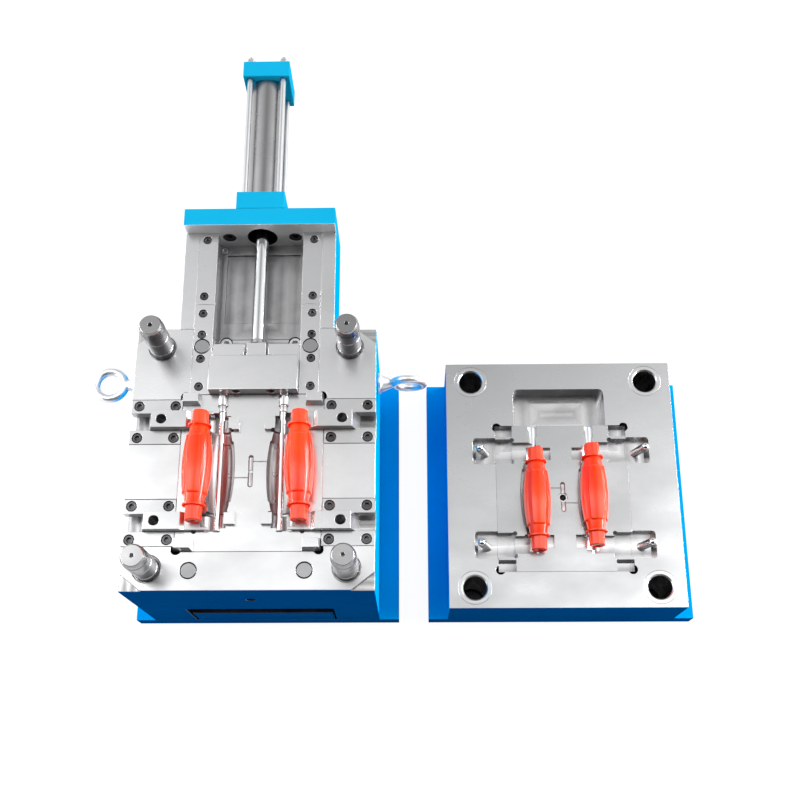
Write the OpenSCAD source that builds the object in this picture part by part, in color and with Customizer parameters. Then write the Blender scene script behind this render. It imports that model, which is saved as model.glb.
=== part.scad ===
// Two-cavity injection mould for moulded grips, lying open: the core half with four side slides
// and a hydraulic core pull on the left, the cavity half on the right.
// Millimetres. X runs from the core half to the cavity half, Y runs back to the cylinder, Z is up.
// The origin is on the underside of the core half, on the axis of the ejector rod hole.

/* [Plates] */
// width of the mould plates
plate_width = 250; // [230:1:270]
// length of the mould plates
plate_length = 280; // [270:1:300]
// how far the plate centre lies behind the sprue axis
plate_shift = 18; // [14:1:20]
// width of both clamp plates, wider than the plates on each side
clamp_width = 292; // [280:1:310]
// thickness of both clamp plates
clamp_thickness = 20; // [16:1:28]
// height of the two spacer blocks
spacer_height = 60; // [56:1:80]
// width of each spacer block
spacer_width = 47; // [40:1:49]
// thickness of the support plate
support_thickness = 30; // [26:1:40]
// thickness of the core plate
core_thickness = 60; // [56:1:70]
// thickness of the cavity plate
cavity_thickness = 60; // [56:1:70]
// radius of the locating ring
ring_radius = 50; // [45:0.5:60]
// distance between the axes of the two halves as they lie open
half_pitch = 325; // [310:1:360]
// radius of the ejector rod hole in the core clamp plate
rod_hole_radius = 20; // [15:0.5:25]

/* [Inserts] */
// width of both inserts
insert_width = 143.8; // [141:0.1:144.4]
// length of both inserts
insert_length = 165.8; // [163:0.1:166.4]
// depth of both inserts in their plates
insert_depth = 40; // [36:0.5:42]
// gap between an insert and its pocket wall
insert_gap = 0.1; // [0.05:0.01:0.2]
// length of each corner interlock block along X
lock_length = 18.5; // [15:0.5:20]
// width of each corner interlock block along Y
lock_width = 12.5; // [10:0.5:14]
// height of the corner interlock blocks
lock_height = 10; // [8:0.5:11]
// distance from the sprue axis to each cavity axis
cavity_offset = 31; // [30:0.25:32]
// width of the runner channel
runner_width = 5; // [3:0.25:7]
// length of the runner channel
runner_length = 34; // [28:1:40]

/* [Grip shape] */
// largest radius of the moulded shape over the raised panels
grip_radius = 15.2; // [14.5:0.1:16]
// radius of the bulged body at its two ends over the panels
grip_neck_radius = 10.4; // [10.2:0.1:11]
// how far the panels stand above the body
panel_rise = 1.2; // [0.8:0.1:1.4]
// half of the angle that each raised panel takes up around the axis
panel_angle = 36; // [34:0.5:38]
// half length of the raised panels
panel_half_length = 32; // [28:0.5:36]
// half length of the bulged body
body_half_length = 42; // [40:0.5:42.5]
// radius of the two collars
collar_radius = 12; // [10.5:0.1:12]
// width of the two collars
collar_width = 2.4; // [2:0.1:2.5]
// radius of the two end cylinders
end_radius = 8.8; // [8:0.1:9]
// length of the two end cylinders
end_length = 15; // [13:0.1:15.2]
// size of the cooled moulding as a share of its impression
moulded_size = 0.965; // [0.96:0.005:0.97]
// gap between the side faces of the moulded panels and those of the impression
panel_gap = 0.3; // [0.1:0.05:0.4]

/* [Loose grips] */
// distances of the left and right grip on the core half from the centre plane
lie_x = [50.7, 50.3]; // [50:0.1:51]
// how far both lie behind the sprue axis
lie_y = 1; // [0:0.1:1]
// turn of each of them, its rear end towards the centre plane
lie_turn = [0.8, 1.2]; // [0:0.1:1.2]
// how far the grips in the cavity half have moved along X
seat_x = [1.8, 1.2]; // [0:0.1:2]
// how far they have moved along Y
seat_y = [-4.6, 0]; // [-5:0.1:1]

/* [Guiding] */
// radius of the guide pins
guide_radius = 12.5; // [11:0.25:13]
// gap between a guide pin and its bushing or bore
guide_gap = 0.03; // [0.01:0.01:0.08]
// height of the guide pins above the parting face
guide_rise = 52; // [45:1:56]
// distance of the guide pins from the centre plane
guide_x = 97.5; // [95:0.5:99]
// distance of the guide pins from the plate centre along Y
guide_y = 118; // [116:0.5:119]
// outer radius of the guide bushings
bushing_radius = 18; // [17:0.25:19]
// radius of the return pins
return_radius = 7.5; // [6.5:0.25:7.6]
// distance of the return pins from the centre plane
return_x = 56.5; // [56.3:0.1:57]
// distance of the return pins from the plate centre along Y
return_y = 120; // [118:0.5:121]

/* [Side slides] */
// distance from the sprue axis to each slide axis along Y
slide_y = 53.5; // [53.5:0.1:54]
// half width of the slide body
slide_half = 9; // [8:0.1:9]
// half width over the slide wings
wing_half = 14; // [13:0.1:14.2]
// height of the slide above the parting face
slide_rise = 9; // [8:0.25:9.2]
// height of the slide nose above the parting face
nose_rise = 5.5; // [4.5:0.1:5.6]
// depth of the slide below the parting face
slide_depth = 20; // [18:0.5:22]
// travel of each side slide
slide_stroke = 8.5; // [7.5:0.1:9]
// lean of the angle pins
pin_lean = 20; // [18:0.5:22]
// radius of the angle pins
angle_pin_radius = 4.5; // [4:0.1:5]
// gap between an angle pin and its hole in the slide
angle_pin_gap = 0.5; // [0.3:0.05:0.6]
// chamfer along the inner top edge of the slide body
slide_chamfer = 4; // [3:0.25:5]
// gap between a slide and the faces that guide it
slide_gap = 0.3; // [0.2:0.05:0.4]
// thickness of the gib plates
gib_thickness = 10; // [9:0.25:10.5]
// distance of the gib plates outer edge from the slide axis
gib_reach = 24.2; // [23:0.1:25]

/* [Core pull] */
// half width of the core pull carriage
carriage_half = 45.5; // [44:0.1:45.5]
// half width over the carriage wings
carriage_wing = 48.3; // [47:0.1:48.4]
// height of the carriage head above the parting face
head_rise = 13; // [11:0.5:15]
// depth of the core pull channel below the parting face
channel_depth = 26; // [25:0.5:28]
// outer half width of the channel and its rails
channel_half = 66; // [65.5:0.1:66.5]
// length of the bed that carries the channel behind the core plate
bed_length = 115; // [112:1:130]
// outer half width of the bed and the bracket
bed_half = 81; // [78:0.5:84]
// thickness of the cylinder bracket
bracket_thickness = 20; // [18:0.5:24]
// height of the bracket above the parting face
bracket_rise = 15; // [13:0.5:17]
// depth of the rod axis below the parting face
rod_depth = 10; // [9:0.5:10.5]
// radius of the piston rod
rod_radius = 7; // [6:0.25:8]
// gap between the piston rod and the cylinder cap
rod_gap = 0.05; // [0.02:0.01:0.1]
// radius of the cylinder bore
bore_radius = 16; // [15:0.25:16.5]
// wall of the cylinder barrel
barrel_wall = 3; // [2:0.25:3.5]
// length of the cylinder barrel
barrel_length = 150; // [148:1:180]
// travel of the core pull
pull_stroke = 125; // [115:1:125]
// depth that each core pin reaches into its holder
holder_grip = 16; // [10:0.5:20]
// radius of the thin part of the core pins
core_pin_radius = 3; // [2.5:0.1:3.5]
// gap between a core pin and its groove
core_pin_gap = 0.05; // [0.02:0.01:0.1]

/* [Ejection] */
// gap between the ejector plates and the spacer blocks
ejector_side_gap = 3; // [2:0.5:5]
// height of the stop buttons under the ejector plates
button_height = 4; // [3:0.5:5]
// thickness of the ejector plate
ejector_thickness = 20; // [16:0.5:20]
// thickness of the retainer plate
retainer_thickness = 14; // [12:0.5:14]
// distance of the ejector pins inward from the cavity axis, beside the core pins
eject_inset = 8; // [7.5:0.1:8.5]
// radius of the ejector pins
ejector_pin_radius = 2.5; // [2:0.1:3]
// gap between an ejector or return pin and its hole
ejector_pin_gap = 0.05; // [0.02:0.01:0.1]

/* [Screws] */
// distance of the rail screws from the centre plane
rail_screw_x = 57.5; // [57:0.1:58]
// distance of the two screws at the end of the channel from the centre plane
bed_screw_x = 37; // [36:0.5:38]
// gap between a screw and its tapped hole
thread_gap = 0.1; // [0.05:0.01:0.15]
// gap between a screw and its clearance hole
clear_gap = 0.5; // [0.3:0.05:0.8]
// radius of the gib plate screws
gib_screw = 3; // [2.5:0.1:3.2]
// radius of the rail screws
rail_screw = 2.5; // [2:0.1:3]
// radius of the plate screws
plate_screw = 6; // [5:0.1:6.5]
// radius of the insert, bed and bracket screws
bed_screw = 4; // [3.5:0.1:4.5]
// radius of the eye bolt shanks
eye_screw = 5; // [4:0.1:5.5]
// distance of the eye bolts from the plate centre along Y
eye_y = 90; // [86:0.5:92]
// outer radius of the eye bolt rings
eye_ring = 20; // [18:0.5:22]

/* [Hidden] */
$fn = 48;
steel = "Silver";
paint = "DeepSkyBlue";

// heights of the plate faces, worked up from the floor
support_z = clamp_thickness + spacer_height;
core_z = support_z + support_thickness;
parting_z = core_z + core_thickness;
cavity_z = clamp_thickness + cavity_thickness;
front_y = plate_shift - plate_length / 2;
rear_y = plate_shift + plate_length / 2;
bed_y = rear_y + bed_length;
cap_y = bed_y + bracket_thickness;
cap_length = 21;
barrel_y = cap_y + cap_length;
pocket_x = insert_width / 2 + insert_gap;
pocket_y = insert_length / 2 + insert_gap;
impression_half = body_half_length + collar_width + end_length;
// the core pin holders end just behind the rear side slides
holder_y = slide_y + slide_half + 0.7;
// side slide profile, measured outward from the centre plane in the drawn back position
nose_x = cavity_offset + slide_stroke;
slide_front_x = nose_x + 22.5;
slide_foot_x = slide_front_x + 12;
wing_x = slide_foot_x + 7;
heel_top_x = slide_front_x + 39.5;
heel_x = heel_top_x + 6.6;
pin_hole_x = slide_front_x + 29.5;
slide_step = 10;
// half width of the slot for the core pin in a slide nose
pin_slot = core_pin_radius + 0.5;
slide_room_half = 15;
// core pull lengths along Y
carriage_y = pocket_y + 0.5;
head_length = 38;
carriage_length = 57.5;
coupling_y = carriage_y + head_length + 0.5;
rod_y = carriage_y + carriage_length + 7;
piston_y = barrel_y + 3;
rail_split_y = rear_y + 28.5;
ejector_half = plate_width / 2 - spacer_width - ejector_side_gap;
ejector_screw = ejector_half - 15;
frame_screw_x = plate_width / 2 - spacer_width / 2 + 0.5;

// places used by more than one piece
eject_y = [-30, 0, 30];
rail_front_screws = [pocket_y + 9.4, rail_split_y - 62.7, rail_split_y - 35.1, rail_split_y - 10.5];
rail_rear_screws = [rail_split_y + 9.7, bed_y - 9.1];
gib_screw_x = [79.7, 116.8];
gib_screw_y = 17.3;
button_y = [-82, 118];
frame_screw_y = [-42, 78];

// copies the children to the left and right of the centre plane
module both_sides() {
  children();
  mirror([1, 0, 0]) children();
}

// a plain box from its two corners
module block(low, high) {
  translate(low) cube(high - low);
}

// a socket head cap screw hanging down from its seat at the origin
module cap_screw(r, length) {
  difference() {
    union() {
      cylinder(r = r * 1.6, h = r * 2);
      translate([0, 0, -length]) cylinder(r = r, h = length + 0.01);
    }
    translate([0, 0, r]) cylinder(r = r * 0.95, h = r * 1.2, $fn = 6);
  }
}

// the hole for a cap screw: head room above the seat, plain hole below
module screw_hole(r, length, gap, head_room) {
  translate([0, 0, -length]) cylinder(r = r + gap, h = length + 0.1);
  cylinder(r = r * 1.6 + 0.6, h = head_room);
}

// the moulded shape lying along Y at a share of its full size, with a gap off the sides of its panels
module grip_shape(size, side_gap) {
  half = impression_half * size;
  rotate([90, 0, 0]) {
    translate([0, 0, -half]) cylinder(r = end_radius * size, h = 2 * half);
    for (s = [-1, 1])
      translate([0, 0, s * size * (body_half_length + collar_width / 2)])
        cylinder(r = collar_radius * size, h = collar_width * size, center = true);
    bulge((grip_radius - panel_rise) * size, (grip_neck_radius - panel_rise) * size, body_half_length * size);
    intersection() {
      bulge(grip_radius * size, grip_neck_radius * size, body_half_length * size);
      linear_extrude(height = 2 * panel_half_length * size, center = true)
        for (a = [0:90:270])
          rotate(a)
            translate([side_gap / sin(panel_angle), 0])
              polygon([[0, 0], [30 * cos(panel_angle), -30 * sin(panel_angle)], [30 * cos(panel_angle), 30 * sin(panel_angle)]]);
    }
  }
}

// a body of revolution about Z whose outline is one arc: wide in the middle, narrow at both ends
module bulge(wide, narrow, half) {
  sag = wide - narrow;
  arc = (half * half + sag * sag) / (2 * sag);
  rotate_extrude()
    intersection() {
      translate([wide - arc, 0]) circle(r = arc, $fn = 720);
      translate([0, -half]) square([wide + 1, 2 * half]);
    }
}

// both grip impressions and the stepped grooves that hold the core pins
module impressions() {
  both_sides()
    translate([cavity_offset, 0, 0]) {
      grip_shape(1, 0);
      rotate([90, 0, 0])
        translate([0, 0, -pocket_y - 1]) cylinder(r = core_pin_radius + core_pin_gap, h = pocket_y + impression_half + 5);
      rotate([-90, 0, 0]) {
        translate([0, 0, impression_half - 0.5]) cylinder(r = 4 + core_pin_gap, h = 30);
        translate([0, 0, impression_half + 10]) cylinder(r = 5 + core_pin_gap, h = 30);
      }
    }
}

// a corner interlock block with leaning flanks, standing on the parting plane
module lock_block(grow) {
  l = lock_length / 2 + grow;
  w = lock_width / 2 + grow;
  h = lock_height + grow;
  intersection() {
    rotate([90, 0, 0]) linear_extrude(height = 2 * w, center = true)
      polygon([[-l, -2], [l, -2], [l, 0], [l - 1.6, h], [-l + 1.6, h], [-l, 0]]);
    rotate([90, 0, 90]) linear_extrude(height = 2 * l, center = true)
      polygon([[-w, -2], [w, -2], [w, 0], [w - 1.6, h], [-w + 1.6, h], [-w, 0]]);
  }
}

// the four corner places of the interlock blocks
module at_locks() {
  for (s = [-1, 1], t = [-1, 1])
    translate([s * (insert_width - lock_length) / 2, t * (insert_length - lock_width) / 2, 0]) children();
}

// the four places of the side slides, children drawn for the right-hand side
module at_slides() {
  for (t = [-1, 1])
    translate([0, t * slide_y, 0]) both_sides() children();
}

// the four guide pin places
module at_guides() {
  for (t = [-1, 1])
    both_sides() translate([guide_x, plate_shift + t * guide_y, 0]) children();
}

// the four return pin places
module at_returns() {
  for (t = [-1, 1])
    both_sides() translate([return_x, plate_shift + t * return_y, 0]) children();
}

// the four plate screw places
module at_frame_screws() {
  for (y = frame_screw_y)
    both_sides() translate([frame_screw_x, y, 0]) children();
}

// the four insert screw places
module at_insert_screws() {
  for (t = [-1, 1])
    both_sides() translate([insert_width / 2 - 13.9, t * (insert_length / 2 - 12.9), 0]) children();
}

// the six ejector pin places under the impressions
module at_ejectors() {
  for (y = eject_y)
    both_sides() translate([cavity_offset - eject_inset, y, 0]) children();
}

module plate_slab(width, z, thickness) {
  block([-width / 2, front_y, z], [width / 2, rear_y, z + thickness]);
}

// CORE HALF, the pieces that stay still

module core_clamp_plate() {
  color(paint)
    difference() {
      plate_slab(clamp_width, 0, clamp_thickness);
      translate([0, 0, -1]) cylinder(r = rod_hole_radius, h = clamp_thickness + 2);
      at_frame_screws() {
        translate([0, 0, 13]) rotate([180, 0, 0]) screw_hole(plate_screw, 20, clear_gap, 20);
      }
    }
}

module spacer_block(s) {
  color(paint)
    difference() {
      mirror([s < 0 ? 1 : 0, 0, 0])
        block([plate_width / 2 - spacer_width, front_y, clamp_thickness], [plate_width / 2, rear_y, support_z]);
      at_frame_screws() translate([0, 0, clamp_thickness - 1]) cylinder(r = plate_screw + clear_gap, h = spacer_height + 2);
    }
}

module spacer_block_left() {
  spacer_block(-1);
}

module spacer_block_right() {
  spacer_block(1);
}

module support_plate() {
  color(paint)
    difference() {
      union() {
        plate_slab(plate_width, support_z, support_thickness);
        block([-bed_half, rear_y - 1, support_z], [bed_half, rear_y + 32, core_z]);
      }
      at_frame_screws() translate([0, 0, support_z - 1]) cylinder(r = plate_screw + clear_gap, h = support_thickness + 2);
      at_returns() translate([0, 0, support_z - 1]) cylinder(r = return_radius + clear_gap, h = support_thickness + 2);
      at_ejectors() translate([0, 0, support_z - 1]) cylinder(r = ejector_pin_radius + clear_gap, h = support_thickness + 2);
      translate([0, 0, support_z - 1]) cylinder(r = 2 + clear_gap, h = support_thickness + 2);
      both_sides() {
        translate([bed_screw_x, rear_y - 4, core_z - 22]) cylinder(r = bed_screw + thread_gap, h = 23);
        translate([70, rear_y + 16, support_z + 9]) rotate([180, 0, 0]) screw_hole(bed_screw, 22, clear_gap, 12);
      }
    }
}

// one slide pocket with its channel, its two gib seats and its stop screw hole
module slide_pocket() {
  x0 = pocket_x - 1;
  x1 = plate_width / 2 + 1;
  block([x0, -wing_half - slide_gap, parting_z - slide_depth - slide_gap], [x1, wing_half + slide_gap, parting_z + 1]);
  block([x0, -gib_reach - 0.2, parting_z - gib_thickness], [x1, gib_reach + 0.2, parting_z + 1]);
  for (x = gib_screw_x, t = [-1, 1])
    translate([x, t * gib_screw_y, parting_z - 26]) cylinder(r = gib_screw + thread_gap, h = 20);
  translate([heel_x + slide_gap + 4, -slide_half - 1, parting_z - slide_depth - 12]) cylinder(r = 2.5 + thread_gap, h = 14);
}

module core_plate() {
  color(steel)
    difference() {
      plate_slab(plate_width, core_z, core_thickness);
      block([-pocket_x, -pocket_y, parting_z - insert_depth], [pocket_x, pocket_y, parting_z + 1]);
      for (t = [-1, 1])
        both_sides()
          translate([pocket_x - 2, t * (pocket_y - 2), parting_z - insert_depth]) cylinder(r = 5, h = insert_depth + 1);
      at_slides() slide_pocket();
      block([-channel_half - 0.1, pocket_y - 1, parting_z - channel_depth], [channel_half + 0.1, rear_y + 1, parting_z + 1]);
      both_sides() translate([bed_screw_x, rear_y - 4, parting_z - channel_depth - 9]) screw_hole(bed_screw, 40, clear_gap, 12);
      // guide pin bores with a head seat below and a relieved mouth above
      at_guides() {
        translate([0, 0, core_z - 1]) cylinder(r = guide_radius + guide_gap, h = core_thickness + 2);
        translate([0, 0, core_z - 1]) cylinder(r = guide_radius + 3, h = 9);
        translate([0, 0, parting_z - 2]) cylinder(r = guide_radius + 1.8, h = 3);
      }
      at_returns() {
        translate([0, 0, core_z - 1]) cylinder(r = return_radius + ejector_pin_gap, h = core_thickness + 2);
        translate([0, 0, parting_z - 1]) cylinder(r = return_radius + 0.8, h = 2);
      }
      at_ejectors() translate([0, 0, core_z - 1]) cylinder(r = ejector_pin_radius + clear_gap, h = core_thickness);
      translate([0, 0, core_z - 1]) cylinder(r = 2 + clear_gap, h = core_thickness);
      // screws that draw the insert down, heads under the plate
      at_insert_screws() translate([0, 0, core_z + 9]) rotate([180, 0, 0]) screw_hole(bed_screw, 12, clear_gap, 10);
      at_frame_screws() translate([0, 0, core_z - 1]) cylinder(r = plate_screw + thread_gap, h = 24);
      // rail screws and eye bolts
      both_sides() {
        for (y = rail_front_screws)
          translate([rail_screw_x, y, parting_z - channel_depth - 14]) cylinder(r = rail_screw + thread_gap, h = 15);
        translate([plate_width / 2 - 22, plate_shift + eye_y, parting_z - 30]) rotate([0, 90, 0]) cylinder(r = eye_screw + thread_gap, h = 23);
      }
      // pry slots across the four corners
      for (t = [-1, 1])
        both_sides()
          translate([plate_width / 2, plate_shift + t * plate_length / 2, parting_z - 4])
            rotate([0, 0, t > 0 ? 180 : 90])
              linear_extrude(height = 5) polygon([[-1, -1], [t > 0 ? 24 : 19, -1], [-1, t > 0 ? 19 : 24]]);
      // tapped lifting hole in the front face
      translate([-1.5, front_y - 1, core_z + 16]) rotate([-90, 0, 0]) cylinder(r = 5.1, h = 23);
    }
}

module core_insert() {
  color(steel)
    difference() {
      union() {
        block([-insert_width / 2, -insert_length / 2, parting_z - insert_depth], [insert_width / 2, insert_length / 2, parting_z]);
        translate([0, 0, parting_z]) at_locks() lock_block(0);
        // shut-off blocks beside the grip ends
        for (t = [-1, 1])
          both_sides()
            block([13, t * 49.8 - 6.5, parting_z - 1], [24, t * 49.8 + 6.5, parting_z + 5]);
      }
      translate([0, 0, parting_z]) impressions();
      // rooms for the slide bodies, the slide feet and the slide noses
      at_slides() {
        block([slide_front_x - slide_stroke - slide_gap, -slide_half - slide_gap, parting_z - slide_step - slide_gap],
          [pocket_x + 1, slide_half + slide_gap, parting_z + 1]);
        block([slide_foot_x - slide_stroke - slide_gap, -slide_half - slide_gap, parting_z - slide_depth - slide_gap],
          [pocket_x + 1, slide_half + slide_gap, parting_z + 1]);
        block([cavity_offset - slide_gap, -slide_half - slide_gap, parting_z - slide_step - slide_gap],
          [slide_front_x, slide_half + slide_gap, parting_z + 1]);
        translate([slide_front_x - slide_stroke, slide_half, parting_z - slide_step - slide_gap]) cylinder(r = 2.5, h = 12);
        translate([slide_front_x - slide_stroke, -slide_half, parting_z - slide_step - slide_gap]) cylinder(r = 2.5, h = 12);
      }
      // runner, its two small gates and the sprue puller well
      runner();
      at_ejectors() translate([0, 0, parting_z - insert_depth - 1]) cylinder(r = ejector_pin_radius + ejector_pin_gap, h = insert_depth - 3);
      translate([0, 0, parting_z - insert_depth - 1]) cylinder(r = 2 + ejector_pin_gap, h = insert_depth + 2);
      at_insert_screws() translate([0, 0, parting_z - insert_depth - 1]) cylinder(r = bed_screw + thread_gap, h = 17);
    }
}

// runner channel along Y with one gate to each side, cut half deep into a parting face
module runner() {
  translate([0, 0, parting_z]) {
    rotate([90, 0, 0]) cylinder(r = runner_width / 2, h = runner_length - runner_width, center = true);
    for (t = [-1, 1])
      translate([0, t * (runner_length - runner_width) / 2, 0]) sphere(r = runner_width / 2);
  }
  block([0, 9.4, parting_z - 0.8], [cavity_offset - 12, 10.6, parting_z + 1]);
  block([-cavity_offset + 12, -7.6, parting_z - 0.8], [0, -6.4, parting_z + 1]);
}

module guide_pins() {
  color(steel)
    at_guides()
      translate([0, 0, core_z])
        difference() {
          rotate_extrude()
            polygon([[0, 0], [guide_radius + 2.5, 0], [guide_radius + 2.5, 7.8], [guide_radius, 7.8],
              [guide_radius, core_thickness + 6], [guide_radius - 0.8, core_thickness + 6.8],
              [guide_radius - 0.8, core_thickness + 8.2], [guide_radius, core_thickness + 9],
              [guide_radius, core_thickness + guide_rise * 0.52], [guide_radius - 0.8, core_thickness + guide_rise * 0.52 + 0.8],
              [guide_radius - 0.8, core_thickness + guide_rise * 0.52 + 2.2], [guide_radius, core_thickness + guide_rise * 0.52 + 3],
              [guide_radius, core_thickness + guide_rise - 9], [guide_radius - 0.7, core_thickness + guide_rise - 8],
              [guide_radius - 0.7, core_thickness + guide_rise - 2.5], [guide_radius - 2.2, core_thickness + guide_rise],
              [0, core_thickness + guide_rise]]);
          translate([0, 0, core_thickness + guide_rise - 7]) cylinder(r = 2, h = 8);
        }
}

// long plate screws from below and the short screws that hold the insert
module frame_screws() {
  color("DimGray") {
    at_frame_screws() translate([0, 0, 13]) rotate([180, 0, 0]) cap_screw(plate_screw, core_z + 21 - 13);
    at_insert_screws() translate([0, 0, core_z + 9]) rotate([180, 0, 0]) cap_screw(bed_screw, core_thickness - insert_depth - 9 + 14);
  }
}

module stop_buttons() {
  color(steel)
    for (y = button_y)
      both_sides() translate([ejector_half - 25, y, clamp_thickness]) cylinder(r = 10, h = button_height);
}

// the two gib plates of one slide, drawn on the right
module gib_pair() {
  difference() {
    for (t = [0, 1])
      mirror([0, t, 0])
        block([pocket_x + 0.5, slide_half + slide_gap, parting_z - gib_thickness], [plate_width / 2 - 0.3, gib_reach, parting_z]);
    for (x = gib_screw_x, t = [-1, 1])
      translate([x, t * gib_screw_y, parting_z - 6.4]) screw_hole(gib_screw, 5, clear_gap, 8);
  }
}

module gibs_left_rear() {
  color(steel) mirror([1, 0, 0]) translate([0, slide_y, 0]) gib_pair();
}

module gibs_left_front() {
  color(steel) mirror([1, 0, 0]) translate([0, -slide_y, 0]) gib_pair();
}

module gibs_right_rear() {
  color(steel) translate([0, slide_y, 0]) gib_pair();
}

module gibs_right_front() {
  color(steel) translate([0, -slide_y, 0]) gib_pair();
}

module gib_screws() {
  color("DimGray")
    at_slides()
      for (x = gib_screw_x, t = [-1, 1])
        translate([x, t * gib_screw_y, parting_z - 6.4]) cap_screw(gib_screw, 18);
}

module slide_stop_screws() {
  color("DimGray")
    at_slides()
      translate([heel_x + slide_gap + 4, -slide_half - 1, parting_z - slide_depth - slide_gap]) cap_screw(2.5, 10);
}

// the channel section behind the core plate
module core_pull_bed() {
  color(steel)
    difference() {
      block([-bed_half, rear_y, core_z], [bed_half, bed_y, parting_z]);
      block([-channel_half - 0.1, rear_y - 1, parting_z - channel_depth], [channel_half + 0.1, bed_y + 1, parting_z + 1]);
      block([-40, rear_y + 20, parting_z - channel_depth - 3], [40, bed_y - 12, parting_z]);
      both_sides() {
        translate([bed_screw_x, rear_y - 4, parting_z - channel_depth - 9]) cylinder(r = bed_screw * 1.6 + 0.6, h = 12);
        translate([70, rear_y + 16, core_z - 1]) cylinder(r = bed_screw + thread_gap, h = 16);
        for (y = [rail_front_screws[3], rail_rear_screws[0], rail_rear_screws[1]])
          translate([rail_screw_x, y, parting_z - channel_depth - 14]) cylinder(r = rail_screw + thread_gap, h = 15);
        for (x = [30, 68])
          translate([x, bed_y - 22, core_z + 15]) rotate([-90, 0, 0]) cylinder(r = bed_screw + thread_gap, h = 23);
      }
      translate([-44, bed_y - 6, parting_z - channel_depth - 5]) screw_hole(2.5, 10, thread_gap, 7);
    }
}

module bed_screws() {
  color(steel) {
    both_sides() {
      translate([bed_screw_x, rear_y - 4, parting_z - channel_depth - 9]) cap_screw(bed_screw, 42);
      translate([70, rear_y + 16, support_z + 9]) rotate([180, 0, 0]) cap_screw(bed_screw, 34);
    }
    translate([-44, bed_y - 6, parting_z - channel_depth - 5]) cap_screw(2.5, 9);
  }
}

// one L-shaped rail, drawn on the right
module rail(y0, y1, places) {
  difference() {
    block([carriage_half + slide_gap, y0, parting_z - channel_depth], [channel_half, y1, parting_z]);
    block([carriage_half - 1, y0 - 1, parting_z - channel_depth - 1], [carriage_wing + slide_gap, y1 + 1, parting_z - 14]);
    for (y = places)
      translate([rail_screw_x, y, parting_z - 5.5]) screw_hole(rail_screw, 30, clear_gap, 8);
    translate([return_x, plate_shift + return_y, parting_z - channel_depth - 1]) cylinder(r = return_radius + 0.9, h = channel_depth + 2);
  }
}

module rail_right_front() {
  color(steel) rail(pocket_y + 0.5, rail_split_y - 0.05, rail_front_screws);
}

module rail_right_rear() {
  color(steel) rail(rail_split_y + 0.05, bed_y - 0.2, rail_rear_screws);
}

module rail_left_front() {
  mirror([1, 0, 0]) rail_right_front();
}

module rail_left_rear() {
  mirror([1, 0, 0]) rail_right_rear();
}

module rail_screws() {
  color("DimGray")
    both_sides()
      for (y = concat(rail_front_screws, rail_rear_screws))
        translate([rail_screw_x, y, parting_z - 5.5]) cap_screw(rail_screw, 32);
}

module cylinder_bracket() {
  color(paint)
    difference() {
      block([-bed_half, bed_y, core_z], [bed_half, cap_y, parting_z + bracket_rise]);
      translate([0, bed_y - 1, parting_z - rod_depth]) rotate([-90, 0, 0]) cylinder(r = 16, h = bracket_thickness + 2);
      both_sides() {
        translate([36, bed_y + 9, parting_z - rod_depth]) rotate([90, 0, 0]) screw_hole(bed_screw, 20, clear_gap, 20);
        for (x = [30, 68])
          translate([x, cap_y - 9, core_z + 15]) rotate([-90, 0, 0]) screw_hole(bed_screw, 20, clear_gap, 20);
      }
    }
}

module bracket_screws() {
  color("DimGray")
    both_sides() {
      translate([36, bed_y + 9, parting_z - rod_depth]) rotate([90, 0, 0]) cap_screw(bed_screw, bracket_thickness);
      for (x = [30, 68])
        translate([x, cap_y - 9, core_z + 15]) rotate([-90, 0, 0]) cap_screw(bed_screw, 31);
    }
}

// a forged lifting eye: shank, collar, neck and ring
module eye_bolt(turn) {
  translate([plate_width / 2, plate_shift + eye_y, parting_z - 30]) rotate([turn, 0, 0]) rotate([0, 90, 0]) {
    translate([0, 0, -20]) cylinder(r = eye_screw, h = 21);
    cylinder(r = eye_screw * 2.2, h = 4);
    translate([0, 0, 3]) cylinder(r1 = eye_screw * 2, r2 = eye_screw * 0.95, h = 13);
    translate([0, 0, eye_ring + 13.5]) rotate([90, 0, 0])
      rotate_extrude() translate([eye_ring - 4.5, 0]) circle(r = 4.5);
  }
}

module eye_bolt_left() {
  color(steel) mirror([1, 0, 0]) eye_bolt(90);
}

module eye_bolt_right() {
  color(steel) eye_bolt(8);
}

// EJECTOR STACK, moves up

module ejector_plate() {
  z0 = clamp_thickness + button_height;
  color(paint)
    difference() {
      block([-ejector_half, front_y, z0], [ejector_half, rear_y, z0 + ejector_thickness]);
      for (t = [-1, 1])
        both_sides()
          translate([ejector_screw, t * 60, z0 + 9]) rotate([180, 0, 0]) screw_hole(bed_screw, 20, clear_gap, 12);
      translate([0, 0, z0 - 1]) cylinder(r = 8, h = 17);
    }
}

module ejector_retainer_plate() {
  z0 = clamp_thickness + button_height + ejector_thickness;
  color(paint)
    difference() {
      block([-ejector_half, front_y, z0], [ejector_half, rear_y, z0 + retainer_thickness]);
      at_returns() {
        translate([0, 0, z0 - 1]) cylinder(r = return_radius + 0.3, h = retainer_thickness + 2);
        translate([0, 0, z0 - 1]) cylinder(r = return_radius + 3, h = 7);
      }
      at_ejectors() {
        translate([0, 0, z0 - 1]) cylinder(r = ejector_pin_radius + 0.2, h = retainer_thickness + 2);
        translate([0, 0, z0 - 1]) cylinder(r = ejector_pin_radius + 2.7, h = 6);
      }
      translate([0, 0, z0 - 1]) cylinder(r = 2.2, h = retainer_thickness + 2);
      translate([0, 0, z0 - 1]) cylinder(r = 4.7, h = 5);
      for (t = [-1, 1])
        both_sides() translate([ejector_screw, t * 60, z0 - 1]) cylinder(r = bed_screw + thread_gap, h = 13);
    }
}

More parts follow.
